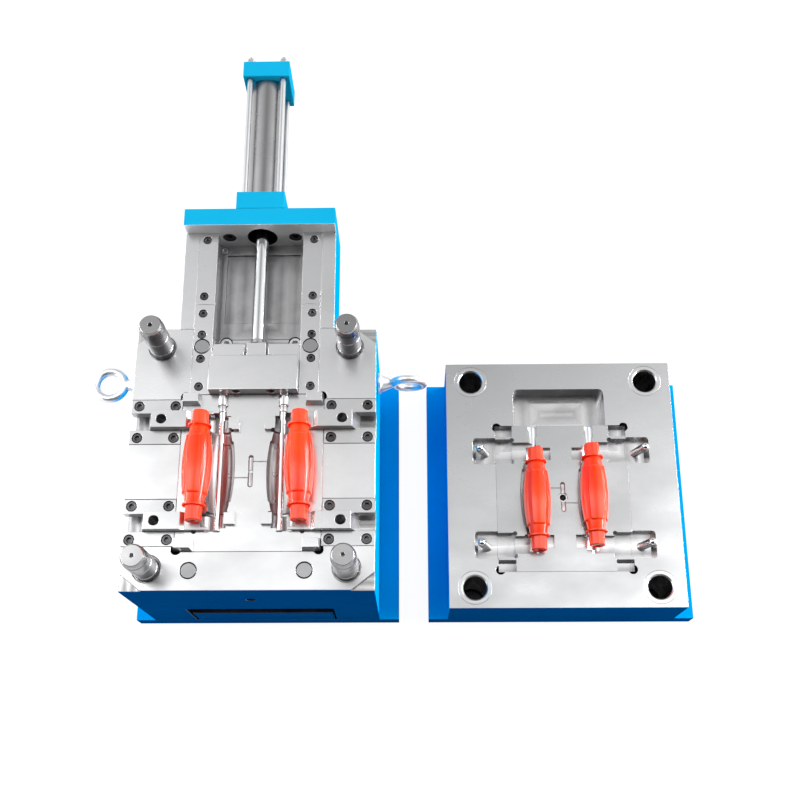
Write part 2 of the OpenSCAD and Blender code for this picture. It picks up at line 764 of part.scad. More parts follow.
module return_pins() {
  z0 = clamp_thickness + button_height + ejector_thickness;
  color(steel)
    at_returns() {
      translate([0, 0, z0]) cylinder(r = return_radius, h = parting_z - z0);
      translate([0, 0, z0]) cylinder(r = return_radius + 2.7, h = 5.8);
    }
}

// the pins under the grips end flush with the impressions, the middle one in the runner
module ejector_pins() {
  z0 = clamp_thickness + button_height + ejector_thickness;
  color(steel) {
    difference() {
      at_ejectors() translate([0, 0, z0]) cylinder(r = ejector_pin_radius, h = parting_z - z0 - 3);
      both_sides() translate([cavity_offset, 0, parting_z]) grip_shape(1, 0);
    }
    at_ejectors() translate([0, 0, z0]) cylinder(r = ejector_pin_radius + 2.5, h = 4.8);
    translate([0, 0, z0]) {
      cylinder(r = 2, h = parting_z - z0 - runner_width / 2);
      cylinder(r = 4.5, h = 3.8);
    }
  }
}

module ejector_screws() {
  z0 = clamp_thickness + button_height;
  color("DimGray")
    for (t = [-1, 1])
      both_sides() translate([ejector_screw, t * 60, z0 + 9]) rotate([180, 0, 0]) cap_screw(bed_screw, 22);
}

// CORE PULL, moves back

module carriage_base() {
  color(steel)
    difference() {
      union() {
        block([-carriage_half, carriage_y, parting_z - channel_depth + slide_gap], [carriage_half, carriage_y + carriage_length, parting_z - 0.5]);
        block([-carriage_wing, carriage_y, parting_z - channel_depth + slide_gap], [carriage_wing, carriage_y + carriage_length, parting_z - 14 - slide_gap]);
      }
      // T slot for the rod coupling
      block([-17, coupling_y - 0.3, parting_z - 20.5], [17, coupling_y + 6, parting_z + 1]);
      block([-12.5, coupling_y, parting_z - 20.5], [12.5, carriage_y + carriage_length + 1, parting_z + 1]);
      pin_seats(0.05);
      for (x = [[8, 9.5], [20, 29.5]])
        both_sides()
          translate([x[0], carriage_y + x[1], parting_z - channel_depth + 8]) rotate([180, 0, 0]) screw_hole(3, 25, clear_gap, 12);
    }
}

// the seats of both core pins, split between carriage base and head
module pin_seats(gap) {
  both_sides()
    translate([cavity_offset, carriage_y, parting_z]) rotate([-90, 0, 0]) {
      translate([0, 0, -1]) cylinder(r = 5 + gap, h = 22);
      translate([0, 0, 20 - gap]) cylinder(r = 7 + gap, h = 5 + 2 * gap);
    }
}

module carriage_head() {
  color(steel)
    difference() {
      block([-carriage_half, carriage_y, parting_z - 0.5], [carriage_half, carriage_y + head_length, parting_z + head_rise]);
      pin_seats(0.05);
      for (x = [[8, 9.5], [20, 29.5]])
        both_sides()
          translate([x[0], carriage_y + x[1], parting_z - 2]) cylinder(r = 3 + thread_gap, h = 12);
      both_sides()
        translate([18, carriage_y - 1, parting_z + 6.2]) rotate([-90, 0, 0]) cylinder(r = 4.4, h = 14);
    }
}

module carriage_screws() {
  color("DimGray")
    for (x = [[8, 9.5], [20, 29.5]])
      both_sides()
        translate([x[0], carriage_y + x[1], parting_z - channel_depth + 8]) rotate([180, 0, 0]) cap_screw(3, 27);
}

// two thin core pins, each let into a stepped holder with a ring groove and a head
module core_pins() {
  bore = core_pin_radius + core_pin_gap;
  shoulder = core_pin_radius + 1;
  color("Gainsboro")
    both_sides()
      translate([cavity_offset, 0, parting_z]) rotate([-90, 0, 0]) {
        rotate_extrude()
          polygon([[0, -impression_half - 3.6], [core_pin_radius - 0.8, -impression_half - 3.6],
            [core_pin_radius, -impression_half - 2.8], [core_pin_radius, holder_y + holder_grip],
            [0, holder_y + holder_grip]]);
        rotate_extrude()
          polygon([[bore, holder_y], [shoulder, holder_y], [shoulder, impression_half + 8.4],
            [shoulder - 0.4, impression_half + 9], [shoulder - 0.4, impression_half + 10.2],
            [5, impression_half + 10.8], [5, carriage_y + 20], [7, carriage_y + 20], [7, carriage_y + 25],
            [0, carriage_y + 25], [0, holder_y + holder_grip + 0.1], [bore, holder_y + holder_grip + 0.1]]);
      }
}

module rod_coupling() {
  z0 = parting_z - rod_depth;
  color(steel) {
    block([-16, coupling_y + 0.1, z0 - 9.5], [16, coupling_y + 5.7, z0 + 9.3]);
    block([-10, coupling_y + 5.6, z0 - 9.5], [10, carriage_y + carriage_length + 1.5, z0 + 9.3]);
    translate([0, carriage_y + carriage_length + 1.4, z0]) rotate([-90, 0, 0]) cylinder(r1 = 9.4, r2 = rod_radius + 0.5, h = rod_y - carriage_y - carriage_length - 1.4);
  }
}

module piston_rod() {
  color("Gainsboro")
    translate([0, rod_y, parting_z - rod_depth]) rotate([-90, 0, 0]) cylinder(r = rod_radius, h = piston_y - rod_y);
}

module piston() {
  color(steel)
    translate([0, piston_y, parting_z - rod_depth]) rotate([-90, 0, 0])
      difference() {
        cylinder(r = bore_radius - 0.05, h = 16);
        for (z = [4, 9.5])
          translate([0, 0, z])
            difference() {
              cylinder(r = bore_radius + 1, h = 2.5);
              translate([0, 0, -1]) cylinder(r = bore_radius - 2, h = 5);
            }
      }
}

module cylinder_front_cap() {
  z0 = parting_z - rod_depth;
  color(paint)
    difference() {
      union() {
        block([-26, cap_y, z0 - 25], [26, barrel_y, z0 + 25]);
        block([-46, cap_y, z0 - 10], [46, cap_y + 10, z0 + 10]);
      }
      translate([0, cap_y - 1, z0]) rotate([-90, 0, 0]) cylinder(r = rod_radius + rod_gap, h = cap_length + 2);
      at_tie_rods() translate([0, 0, cap_y + 9]) cylinder(r = 3 + thread_gap, h = 13);
      both_sides() translate([36, cap_y - 1, z0]) rotate([-90, 0, 0]) cylinder(r = bed_screw + thread_gap, h = 12);
      translate([0, cap_y + 11, z0 - 26]) cylinder(r = 5.2, h = 13);
    }
}

// the four tie rod places, children drawn along the cylinder axis
module at_tie_rods() {
  for (s = [-1, 1], t = [-1, 1])
    translate([s * 18.5, 0, parting_z - rod_depth + t * 18.5]) rotate([-90, 0, 0]) children();
}

module cylinder_barrel() {
  color(steel)
    translate([0, barrel_y, parting_z - rod_depth]) rotate([-90, 0, 0])
      difference() {
        cylinder(r = bore_radius + barrel_wall, h = barrel_length);
        translate([0, 0, -1]) cylinder(r = bore_radius, h = barrel_length + 2);
      }
}

module cylinder_rear_cap() {
  z0 = parting_z - rod_depth;
  y0 = barrel_y + barrel_length;
  color(paint)
    difference() {
      block([-26, y0, z0 - 25], [26, y0 + 20, z0 + 25]);
      at_tie_rods() translate([0, 0, y0 - 1]) cylinder(r = 3 + clear_gap, h = 22);
      translate([0, y0 + 10, z0 - 26]) cylinder(r = 5.2, h = 13);
    }
}

module tie_rods() {
  y1 = barrel_y + barrel_length + 20;
  color(steel)
    at_tie_rods() {
      translate([0, 0, cap_y + 10]) cylinder(r = 3, h = y1 + 9 - cap_y - 10);
      translate([0, 0, y1]) cylinder(r = 5.5, h = 5, $fn = 6);
    }
}

// hose nipples screwed into both caps from below
module port_fittings() {
  color("Goldenrod")
    for (y = [cap_y + 11, barrel_y + barrel_length + 10])
      translate([0, y, parting_z - rod_depth - 25]) rotate([180, 0, 0])
        difference() {
          union() {
            translate([0, 0, -10]) cylinder(r = 5.1, h = 11);
            cylinder(r = 8, h = 7, $fn = 6);
            cylinder(r = 5, h = 18);
            translate([0, 0, 13]) cylinder(r = 6, h = 3);
          }
          translate([0, 0, -9]) cylinder(r = 2.5, h = 30);
        }
}

// SIDE SLIDES, each moves inward

// one side slide in its back position, drawn on the right about its own centre line
module side_slide() {
  difference() {
    translate([0, 0, parting_z]) {
      rotate([90, 0, 0])
        linear_extrude(height = 2 * slide_half, center = true)
          polygon([[slide_foot_x, -slide_depth], [heel_x, -slide_depth], [heel_x, -slide_rise], [heel_top_x, slide_rise],
            [slide_front_x + slide_chamfer, slide_rise], [slide_front_x, slide_rise - slide_chamfer], [slide_front_x, nose_rise], [nose_x, nose_rise], [nose_x, -slide_step],
            [slide_foot_x, -slide_step]]);
      block([wing_x, -wing_half, -slide_depth], [heel_x, wing_half, -gib_thickness - slide_gap]);
    }
    // the leaning hole that the angle pin enters
    translate([pin_hole_x, 0, parting_z + slide_rise]) rotate([0, pin_lean, 0])
      translate([0, 0, -45]) cylinder(r = angle_pin_radius + angle_pin_gap, h = 60);
  }
}

module slide_at(s, t) {
  color(steel)
    difference() {
      translate([0, t * slide_y, 0]) mirror([s < 0 ? 1 : 0, 0, 0]) side_slide();
      translate([s * (cavity_offset + slide_stroke), 0, parting_z]) {
        grip_shape(1, 0);
        // square slot for the core pin, open at the tip of the nose
        cube([2 * pin_slot, 160, 2 * pin_slot], center = true);
      }
    }
}

module side_slide_left_rear() {
  slide_at(-1, 1);
}

module side_slide_left_front() {
  slide_at(-1, -1);
}

module side_slide_right_rear() {
  slide_at(1, 1);
}

module side_slide_right_front() {
  slide_at(1, -1);
}

// CAVITY HALF, lifted off as one piece

module on_cavity_half() {
  translate([half_pitch, 0, 0]) children();
}

module cavity_clamp_plate() {
  color(paint)
    on_cavity_half()
      difference() {
        plate_slab(clamp_width, 0, clamp_thickness);
        translate([0, 0, -1]) cylinder(r = ring_radius + 0.1, h = 13);
        translate([0, 0, -1]) cylinder(r = 19.2, h = clamp_thickness + 2);
        at_frame_screws() translate([0, 0, 13]) rotate([180, 0, 0]) screw_hole(plate_screw, 20, clear_gap, 20);
        both_sides() translate([38, 0, 10]) cylinder(r = 3 + thread_gap, h = 8);
        // room for the tips of the guide pins
        at_guides() translate([0, 0, 6]) cylinder(r = guide_radius + 0.5, h = clamp_thickness);
      }
}

// a slide room in the cavity plate with the leaning locking face at its outer end
module cavity_slide_room() {
  d = slide_rise + 1;
  lean = 6.6 / (2 * slide_rise);
  lock_x = heel_top_x - slide_stroke + slide_gap;
  end_x = lock_x + slide_rise * lean;
  intersection() {
    rotate([90, 0, 0])
      linear_extrude(height = 2 * slide_room_half, center = true)
        polygon([[pocket_x - 1, -d], [lock_x - (d - slide_rise) * lean, -d], [end_x, 0],
          [lock_x + (slide_rise + 1) * lean, 1], [pocket_x - 1, 1]]);
    union() {
      block([pocket_x - 1, -slide_room_half, -d - 1], [end_x - 4, slide_room_half, 2]);
      block([pocket_x - 1, 4 - slide_room_half, -d - 1], [end_x + 1, slide_room_half - 4, 2]);
      for (t = [-1, 1])
        translate([end_x - 4, t * (slide_room_half - 4), -d - 1]) cylinder(r = 4, h = d + 3);
    }
  }
}

module cavity_plate() {
  color(steel)
    on_cavity_half()
      difference() {
        plate_slab(plate_width, clamp_thickness, cavity_thickness);
        block([-pocket_x, -pocket_y, cavity_z - insert_depth], [pocket_x, pocket_y, cavity_z + 1]);
        for (t = [-1, 1])
          both_sides()
            translate([pocket_x - 2, t * (pocket_y - 2), cavity_z - insert_depth]) cylinder(r = 5, h = insert_depth + 1);
        // room for the carriage head of the core pull
        hull_room();
        translate([0, 0, cavity_z]) at_slides() cavity_slide_room();
        at_slides()
          translate([0, 0, cavity_z]) angle_pin_shape(angle_pin_radius + 0.02, 1);
        at_guides() {
          translate([0, 0, clamp_thickness - 1]) cylinder(r = bushing_radius + 0.02, h = cavity_thickness + 2);
          translate([0, 0, clamp_thickness - 1]) cylinder(r = bushing_radius + 2.2, h = 9);
        }
        translate([0, 0, clamp_thickness - 1]) cylinder(r = 8.2, h = cavity_thickness);
        at_insert_screws() translate([0, 0, clamp_thickness + 9]) rotate([180, 0, 0]) screw_hole(bed_screw, 12, clear_gap, 10);
        at_frame_screws() translate([0, 0, clamp_thickness - 1]) cylinder(r = plate_screw + thread_gap, h = 24);
      }
}

// the round-cornered room for the carriage head
module hull_room() {
  y1 = pocket_y + 43.5;
  x1 = carriage_half + 5;
  z0 = cavity_z - head_rise - 7;
  block([-x1, pocket_y - 1, z0], [x1, y1 - 6, cavity_z + 1]);
  block([-x1 + 6, pocket_y - 1, z0], [x1 - 6, y1, cavity_z + 1]);
  both_sides() translate([x1 - 6, y1 - 6, z0]) cylinder(r = 6, h = cavity_z + 1 - z0);
}

// one leaning angle pin, drawn on the right, measured from the cavity parting face
module angle_pin_shape(r, over) {
  reach = slide_stroke / tan(pin_lean) - slide_rise;
  base = 14 + slide_rise + 1;
  lean_x = pin_hole_x - slide_stroke + slide_rise * tan(pin_lean);
  translate([lean_x, 0, 0]) rotate([0, pin_lean, 0]) {
    translate([0, 0, -base / cos(pin_lean)]) cylinder(r = r, h = (base + reach) / cos(pin_lean) - r);
    translate([0, 0, reach / cos(pin_lean) - r]) sphere(r = r);
  }
}

module angle_pins() {
  color("Gainsboro")
    on_cavity_half()
      at_slides() translate([0, 0, cavity_z]) angle_pin_shape(angle_pin_radius, 0);
}

module cavity_insert() {
  rise = cavity_z - parting_z;
  color(steel)
    on_cavity_half()
      difference() {
        block([-insert_width / 2, -insert_length / 2, cavity_z - insert_depth], [insert_width / 2, insert_length / 2, cavity_z]);
        translate([0, 0, cavity_z]) impressions();
        translate([0, 0, cavity_z]) mirror([0, 0, 1]) at_locks() lock_block(0.3);
        for (t = [-1, 1])
          both_sides()
            block([11.7, t * 49.8 - 7.2, cavity_z - 5.4], [24, t * 49.8 + 7.2, cavity_z + 1]);
        at_slides() {
          block([slide_front_x - slide_stroke - slide_gap, -13.5, cavity_z - slide_rise - 1], [pocket_x + 1, 13.5, cavity_z + 1]);
          block([cavity_offset, -slide_half - 0.7, cavity_z - nose_rise - slide_gap], [slide_front_x, slide_half + 0.7, cavity_z + 1]);
          for (t = [-1, 1])
            translate([slide_front_x - slide_stroke, t * 12.5, cavity_z - slide_rise - 1]) cylinder(r = 2.5, h = 12);
        }
        translate([0, 0, rise]) mirror([1, 0, 0]) runner();
        translate([0, 0, cavity_z - insert_depth - 1]) cylinder(r = 8.05, h = insert_depth - 8);
        translate([0, 0, cavity_z - 14]) cylinder(r = 5.05, h = 15);
        at_insert_screws() translate([0, 0, cavity_z - insert_depth - 1]) cylinder(r = bed_screw + thread_gap, h = 17);
      }
}

module guide_bushings() {
  color(steel)
    on_cavity_half()
      at_guides()
        translate([0, 0, clamp_thickness])
          difference() {
            union() {
              cylinder(r = bushing_radius, h = cavity_thickness);
              cylinder(r = bushing_radius + 2, h = 7.8);
            }
            translate([0, 0, -1]) cylinder(r = guide_radius + guide_gap, h = cavity_thickness + 2);
            translate([0, 0, cavity_thickness - 1.5]) cylinder(r1 = guide_radius, r2 = guide_radius + 1.6, h = 1.6);
          }
}

module sprue_bushing() {
  color(steel)
    on_cavity_half()
      difference() {
        union() {
          translate([0, 0, 12.1]) cylinder(r = 19, h = 7.9);
          translate([0, 0, 12.1]) cylinder(r = 8, h = cavity_z - 9.2 - 12.1);
          translate([0, 0, 30]) cylinder(r = 5, h = cavity_z - 2.6 - 30);
        }
        translate([0, 0, 11]) cylinder(r1 = 2, r2 = 3.4, h = cavity_z - 11);
      }
}

module locating_ring() {
  color(steel)
    on_cavity_half()
      difference() {
        cylinder(r = ring_radius, h = 12);
        translate([0, 0, -1]) cylinder(r = 18, h = 14);
        both_sides() translate([38, 0, 7]) rotate([180, 0, 0]) screw_hole(3, 8, clear_gap, 8);
      }
}

module cavity_screws() {
  color("DimGray")
    on_cavity_half() {
      at_frame_screws() translate([0, 0, 13]) rotate([180, 0, 0]) cap_screw(plate_screw, clamp_thickness + 21 - 13);
      at_insert_screws() translate([0, 0, clamp_thickness + 9]) rotate([180, 0, 0]) cap_screw(bed_screw, cavity_thickness - insert_depth - 9 + 14);
      both_sides() translate([38, 0, 7]) rotate([180, 0, 0]) cap_screw(3, 10);
    }
}

// MOULDED GRIPS, loose

module moulded_grip() {
  color("OrangeRed")
    difference() {
      grip_shape(moulded_size, panel_gap);
      rotate([90, 0, 0]) cylinder(r = core_pin_radius, h = 2 * impression_half, center = true);
    }
}

// a grip tipped out onto the core half rests just over the parting face, and its end clears the
// side slide when that closes
lie_end_x = max([for (i = [0, 1]) lie_x[i] + impression_half * moulded_size * sin(lie_turn[i])]);
lie_z = max(grip_radius * moulded_size + slide_gap, slide_rise + slide_gap
  + sqrt(pow(end_radius * moulded_size, 2) - pow(slide_front_x - slide_stroke + slide_chamfer - lie_end_x, 2)));

module grip_core_left() {
  translate([-lie_x[0], lie_y, parting_z + lie_z]) rotate([0, 0, -lie_turn[0]]) moulded_grip();
}

module grip_core_right() {
  translate([lie_x[1], lie_y, parting_z + lie_z]) rotate([0, 0, lie_turn[1]]) moulded_grip();
}

// half width of the impression's body at a place along its axis, between the panels
function edge_x(y) =
  let (sag = grip_radius - grip_neck_radius, arc = (body_half_length * body_half_length + sag * sag) / (2 * sag))
    grip_radius - panel_rise - arc + sqrt(arc * arc - y * y);

// a grip that has let go of the cavity lies with its two ends just over the parting face, and high
// enough for its collars to clear the edges of the impression
function seat_z(i) =
  let (y = min(body_half_length, (body_half_length + collar_width) * moulded_size + seat_y[i]))
    slide_gap + max(end_radius * moulded_size, sqrt(pow(collar_radius * moulded_size, 2) - pow(edge_x(y) - seat_x[i], 2)));

module grip_cavity_left() {
  translate([half_pitch - cavity_offset + seat_x[0], seat_y[0], cavity_z + seat_z(0)]) moulded_grip();
}

module grip_cavity_right() {
  translate([half_pitch + cavity_offset + seat_x[1], seat_y[1], cavity_z + seat_z(1)]) moulded_grip();
}

core_clamp_plate();
spacer_block_left();
spacer_block_right();
support_plate();
core_plate();
core_insert();
guide_pins();
frame_screws();
stop_buttons();
gibs_left_rear();
gibs_left_front();
gibs_right_rear();
gibs_right_front();
gib_screws();
slide_stop_screws();
core_pull_bed();
bed_screws();
rail_left_front();
rail_left_rear();
rail_right_front();
rail_right_rear();
rail_screws();
cylinder_bracket();
bracket_screws();
eye_bolt_left();
eye_bolt_right();
cylinder_front_cap();
cylinder_barrel();
cylinder_rear_cap();
tie_rods();
port_fittings();
ejector_plate();
ejector_retainer_plate();
return_pins();
ejector_pins();
ejector_screws();
carriage_base();
carriage_head();
carriage_screws();
core_pins();
rod_coupling();
piston_rod();
piston();
side_slide_left_rear();
side_slide_left_front();
side_slide_right_rear();
side_slide_right_front();
cavity_clamp_plate();
cavity_plate();
cavity_insert();
guide_bushings();
angle_pins();
sprue_bushing();
locating_ring();
cavity_screws();
grip_core_left();
grip_core_right();
grip_cavity_left();
grip_cavity_right();
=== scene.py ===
from math import radians

import bmesh
import bpy
import numpy as np
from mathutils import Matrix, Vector


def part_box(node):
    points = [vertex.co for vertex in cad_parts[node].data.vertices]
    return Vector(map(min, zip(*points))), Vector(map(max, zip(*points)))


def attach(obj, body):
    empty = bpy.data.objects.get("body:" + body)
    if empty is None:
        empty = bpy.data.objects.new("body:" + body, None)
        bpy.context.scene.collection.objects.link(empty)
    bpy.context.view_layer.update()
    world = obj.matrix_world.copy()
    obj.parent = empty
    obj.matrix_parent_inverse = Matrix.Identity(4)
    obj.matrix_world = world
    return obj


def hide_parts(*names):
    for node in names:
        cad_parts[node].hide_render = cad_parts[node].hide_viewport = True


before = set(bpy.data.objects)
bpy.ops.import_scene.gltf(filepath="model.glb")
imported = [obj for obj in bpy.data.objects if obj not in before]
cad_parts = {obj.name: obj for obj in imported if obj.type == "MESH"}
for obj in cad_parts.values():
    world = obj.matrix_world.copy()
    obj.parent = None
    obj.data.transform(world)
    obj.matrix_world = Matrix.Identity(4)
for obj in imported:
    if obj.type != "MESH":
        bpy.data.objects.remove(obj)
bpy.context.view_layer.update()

# The photographer stood in front of the mould and looked steeply down at both open halves,
# with a normal lens whose frame was shifted up to take in the hydraulic cylinder behind.
photo_lens = bpy.data.cameras.new("photo_lens")
photo_lens.sensor_width = 36
photo_lens.lens = 44.28
photo_lens.shift_x = 0.0014
photo_lens.shift_y = 0.1466
photo_camera = bpy.data.objects.new("photo_camera", photo_lens)
photo_camera.location = (0.1631, -0.3274, 1.0970)
photo_camera.rotation_euler = (radians(16.71), radians(0.92), radians(-0.04))
bpy.context.scene.collection.objects.link(photo_camera)
bpy.context.scene.camera = photo_camera
bpy.context.scene.view_settings.view_transform = "Standard"


# CLAMP PLATES, SPACER BLOCKS AND SUPPORT PLATE
# Plain carbon steel plates, milled all over, then brushed and rolled with gloss sky-blue machine
# paint on every outside face. Long socket screws draw them together from below.
def shader(name):
    """An empty node material: returns the material, its node tree and its main shader."""
    finish = bpy.data.materials.new(name)
    finish.use_nodes = True
    return finish, finish.node_tree, finish.node_tree.nodes["Principled BSDF"]


def noise(tree, stretch=(1, 1, 1), **settings):
    """A noise texture read in the object's own metres, made finer by a factor along each axis."""
    place = tree.nodes.new("ShaderNodeTexCoord")
    turn = tree.nodes.new("ShaderNodeMapping")
    turn.inputs["Scale"].default_value = stretch
    texture = tree.nodes.new("ShaderNodeTexNoise")
    tree.links.new(place.outputs["Object"], turn.inputs["Vector"])
    tree.links.new(turn.outputs["Vector"], texture.inputs["Vector"])
    for key, value in settings.items():
        texture.inputs[key].default_value = value
    return texture.outputs[0]


def spread(tree, value, low, high):
    """A pattern's value, taken from its usual band 0.3..0.7 and spread over low..high."""
    node = tree.nodes.new("ShaderNodeMapRange")
    for key, number in zip(("From Min", "From Max", "To Min", "To Max"), (0.3, 0.7, low, high)):
        node.inputs[key].default_value = number
    tree.links.new(value, node.inputs["Value"])
    return node.outputs["Result"]


def shades(tree, value, dark, light, start=0.3, end=0.7):
    """Two colours of one finish, mixed by a pattern's value from start to end."""
    ramp = tree.nodes.new("ShaderNodeValToRGB")
    ramp.color_ramp.elements[0].position = start
    ramp.color_ramp.elements[0].color = (*dark, 1)
    ramp.color_ramp.elements[1].position = end
    ramp.color_ramp.elements[1].color = (*light, 1)
    tree.links.new(value, ramp.inputs["Fac"])
    return ramp.outputs["Color"]


def relief(tree, value, depth, strength, under=None):
    """Small heights of a surface: depth in metres, laid over another relief where one is given."""
    bump = tree.nodes.new("ShaderNodeBump")
    bump.inputs["Distance"].default_value = depth
    bump.inputs["Strength"].default_value = strength
    tree.links.new(value, bump.inputs["Height"])
    if under is not None:
        tree.links.new(under, bump.inputs["Normal"])
    return bump.outputs["Normal"]


def machine_paint(name, dark, light):
    """Rolled satin enamel: slight orange peel, soft brush streaks and a patchy sheen."""
    finish, tree, main = shader(name)
    main.inputs["Specular IOR Level"].default_value = 0.0
    patches = noise(tree, Scale=9, Detail=4)
    peel = noise(tree, Scale=420, Detail=2)
    strokes = noise(tree, (6, 60, 60), Scale=9, Detail=3)
    tree.links.new(shades(tree, patches, dark, light), main.inputs["Base Color"])
    tree.links.new(spread(tree, strokes, 0.30, 0.46), main.inputs["Roughness"])
    rough = relief(tree, peel, 0.0002, 0.25)
    tree.links.new(relief(tree, strokes, 0.0003, 0.2, rough), main.inputs["Normal"])
    return finish


blue_paint = machine_paint("blue_machine_paint", (0.0, 0.285, 0.71), (0.0, 0.325, 0.77))
# A darker copy of the blue paint for faces that look to the front: painted shade.
shaded_front_paint = machine_paint("painted_shade_blue_paint", (0.0, 0.18, 0.70), (0.0, 0.21, 0.76))
# A paler, greener copy of the blue paint for the bracket and cylinder caps: painted light on their lit tops.
lit_cyan_paint = machine_paint("painted_light_blue_paint", (0.005, 0.31, 0.53), (0.008, 0.34, 0.58))
# Near-black bare steel for inner faces, hole walls, recess rings and joints: painted shade.
painted_shade_steel, shade_steel_tree, shade_steel_main = shader("near_black_shade_steel")
shade_steel_main.inputs["Metallic"].default_value = 1
shade_steel_main.inputs["Roughness"].default_value = 0.42
shade_steel_tones = shades(
    shade_steel_tree, noise(shade_steel_tree, Scale=60, Detail=4), (0.030, 0.030, 0.031), (0.075, 0.075, 0.077))
shade_steel_tree.links.new(shade_steel_tones, shade_steel_main.inputs["Base Color"])


def face_table(mesh):
    """Centres and normals of a mesh's faces as two arrays."""
    centres = np.empty(len(mesh.polygons) * 3)
    normals = np.empty(len(mesh.polygons) * 3)
    mesh.polygons.foreach_get("center", centres)
    mesh.polygons.foreach_get("normal", normals)
    return centres.reshape(-1, 3), normals.reshape(-1, 3)


def broken_edges(node, width, finishes, body, cuts=()):
    """A machined piece as the bench leaves it: the CAD shape with its flat triangles joined, and each
    sharp edge broken by a small round of that width. finishes lists (material, rule) pairs, where a rule
    takes face centres and normals and says which faces it covers, and a later rule wins. cuts lists
    (place, direction) planes that divide its faces, so that a part of one can have a finish."""
    sharp = radians(38)
    shape = bmesh.new()
    shape.from_mesh(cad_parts[node].data)
    bmesh.ops.remove_doubles(shape, verts=shape.verts, dist=0.00001)
    bmesh.ops.dissolve_limit(shape, angle_limit=radians(0.2), verts=shape.verts, edges=shape.edges)
    for place, direction in cuts:
        everything = shape.verts[:] + shape.edges[:] + shape.faces[:]
        bmesh.ops.bisect_plane(shape, geom=everything, plane_co=place, plane_no=direction)
    mesh = bpy.data.meshes.new(node + "_finished")
    shape.to_mesh(mesh)
    shape.free()
    centres, normals = face_table(mesh)
    choice = np.zeros(len(centres), dtype=np.int32)
    for number, (finish, rule) in enumerate(finishes):
        mesh.materials.append(finish)
        if rule is not None:
            choice[rule(centres, normals)] = number
    mesh.polygons.foreach_set("material_index", choice)
    mesh.polygons.foreach_set("use_smooth", np.abs(normals).max(axis=1) < 0.99999)
    mesh.set_sharp_from_angle(angle=sharp)
    piece = bpy.data.objects.new(node + "_finished", mesh)
    bpy.context.scene.collection.objects.link(piece)
    round_edge = piece.modifiers.new("broken_edge", "BEVEL")
    round_edge.width = width
    round_edge.segments = 2
    round_edge.limit_method = "ANGLE"
    round_edge.angle_limit = sharp
    round_edge.use_clamp_overlap = False
    flat_faces = piece.modifiers.new("flat_faces", "WEIGHTED_NORMAL")
    flat_faces.mode = "FACE_AREA"
    flat_faces.weight = 100
    flat_faces.keep_sharp = True
    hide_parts(node)
    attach(piece, body)
    return piece


def outside_faces(low, high):
    """The upright faces on the outline of a plate, from its lowest and highest corners."""
    touching = 0.0003

    def rule(centres, normals):
        upright = np.abs(normals[:, 2]) < 0.5
        edge = np.zeros(len(centres), dtype=bool)
        for axis in (0, 1):
            for place in (low[axis], high[axis]):
                edge |= np.abs(centres[:, axis] - place) < touching
        return upright & edge
    return rule


def outer_skin(low, high):
    """The outline of a plate together with its flat top and underside."""
    sides = outside_faces(low, high)
    return lambda centres, normals: sides(centres, normals) | (np.abs(normals[:, 2]) > 0.5)


def painted(rule):
    """Paint on the faces that a rule covers, and a darker copy of it on those that look to the front: painted
    shade.
    """
    def front(centres, normals):
        return rule(centres, normals) & (normals[:, 1] < -0.9)
    return [(blue_paint, rule), (shaded_front_paint, front)]


core_low, core_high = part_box("core_plate")
for node, outline, edge, body in (
    ("spacer_block_left", "core_plate", 0.0008, "core_half"),
    ("spacer_block_right", "core_plate", 0.0008, "core_half"),
    ("support_plate", "support_plate", 0.0008, "core_half"),
    ("ejector_plate", "ejector_plate", 0.0006, "ejector_stack"),
    ("ejector_retainer_plate", "ejector_retainer_plate", 0.0006, "ejector_stack"),
):
    # Inner faces take the near-black steel as painted shade, so the ejector box gap reads black.
    coats = [(painted_shade_steel, None)] + painted(outside_faces(*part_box(outline)))
    broken_edges(node, edge, coats, body)


def covered(low, high):
    """Upward faces inside the outline of the plate that stands on them: left unpainted, and darkened as
    painted shade.
    """
    def rule(centres, normals):
        inside = normals[:, 2] > 0.5
        for axis in (0, 1):
            inside &= (centres[:, axis] > low[axis]) & (centres[:, axis] < high[axis])
        return inside
    return rule


for node, above, body in (
    ("core_clamp_plate", "core_plate", "core_half"),
    ("cavity_clamp_plate", "cavity_plate", "cavity_half"),
):
    low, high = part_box(above)
    outline = [(low, (1, 0, 0)), (high, (1, 0, 0)), (low, (0, 1, 0)), (high, (0, 1, 0))]
    coats = [(painted_shade_steel, None)] + painted(outer_skin(*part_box(node))) + [(painted_shade_steel, covered(low, high))]
    plate = broken_edges(node, 0.0008, coats, body, cuts=outline)


# CORE PLATE AND CAVITY PLATE
# Pre-hardened tool steel: the big faces are surface ground along X, the pockets are milled and
# left with their cutter marks, and the four outside edges wear the same blue paint.
def ground_steel(name, dark, light, rough, grain, depth=0.00003):
    """Surface-ground steel: fine parallel wheel lines, and a sheen that wanders with wiping and handling.
    grain is how fine the lines are along X, Y and Z, and depth is how deep they are in metres."""
    finish, tree, main = shader(name)
    main.inputs["Metallic"].default_value = 1
    lines = noise(tree, grain, Scale=1, Detail=3)
    wiped = noise(tree, (1, 1.6, 1), Scale=14, Detail=5)
    tree.links.new(shades(tree, wiped, dark, light), main.inputs["Base Color"])
    tree.links.new(spread(tree, wiped, rough + 0.08, rough - 0.05), main.inputs["Roughness"])
    tree.links.new(relief(tree, lines, depth, 0.35), main.inputs["Normal"])
    return finish


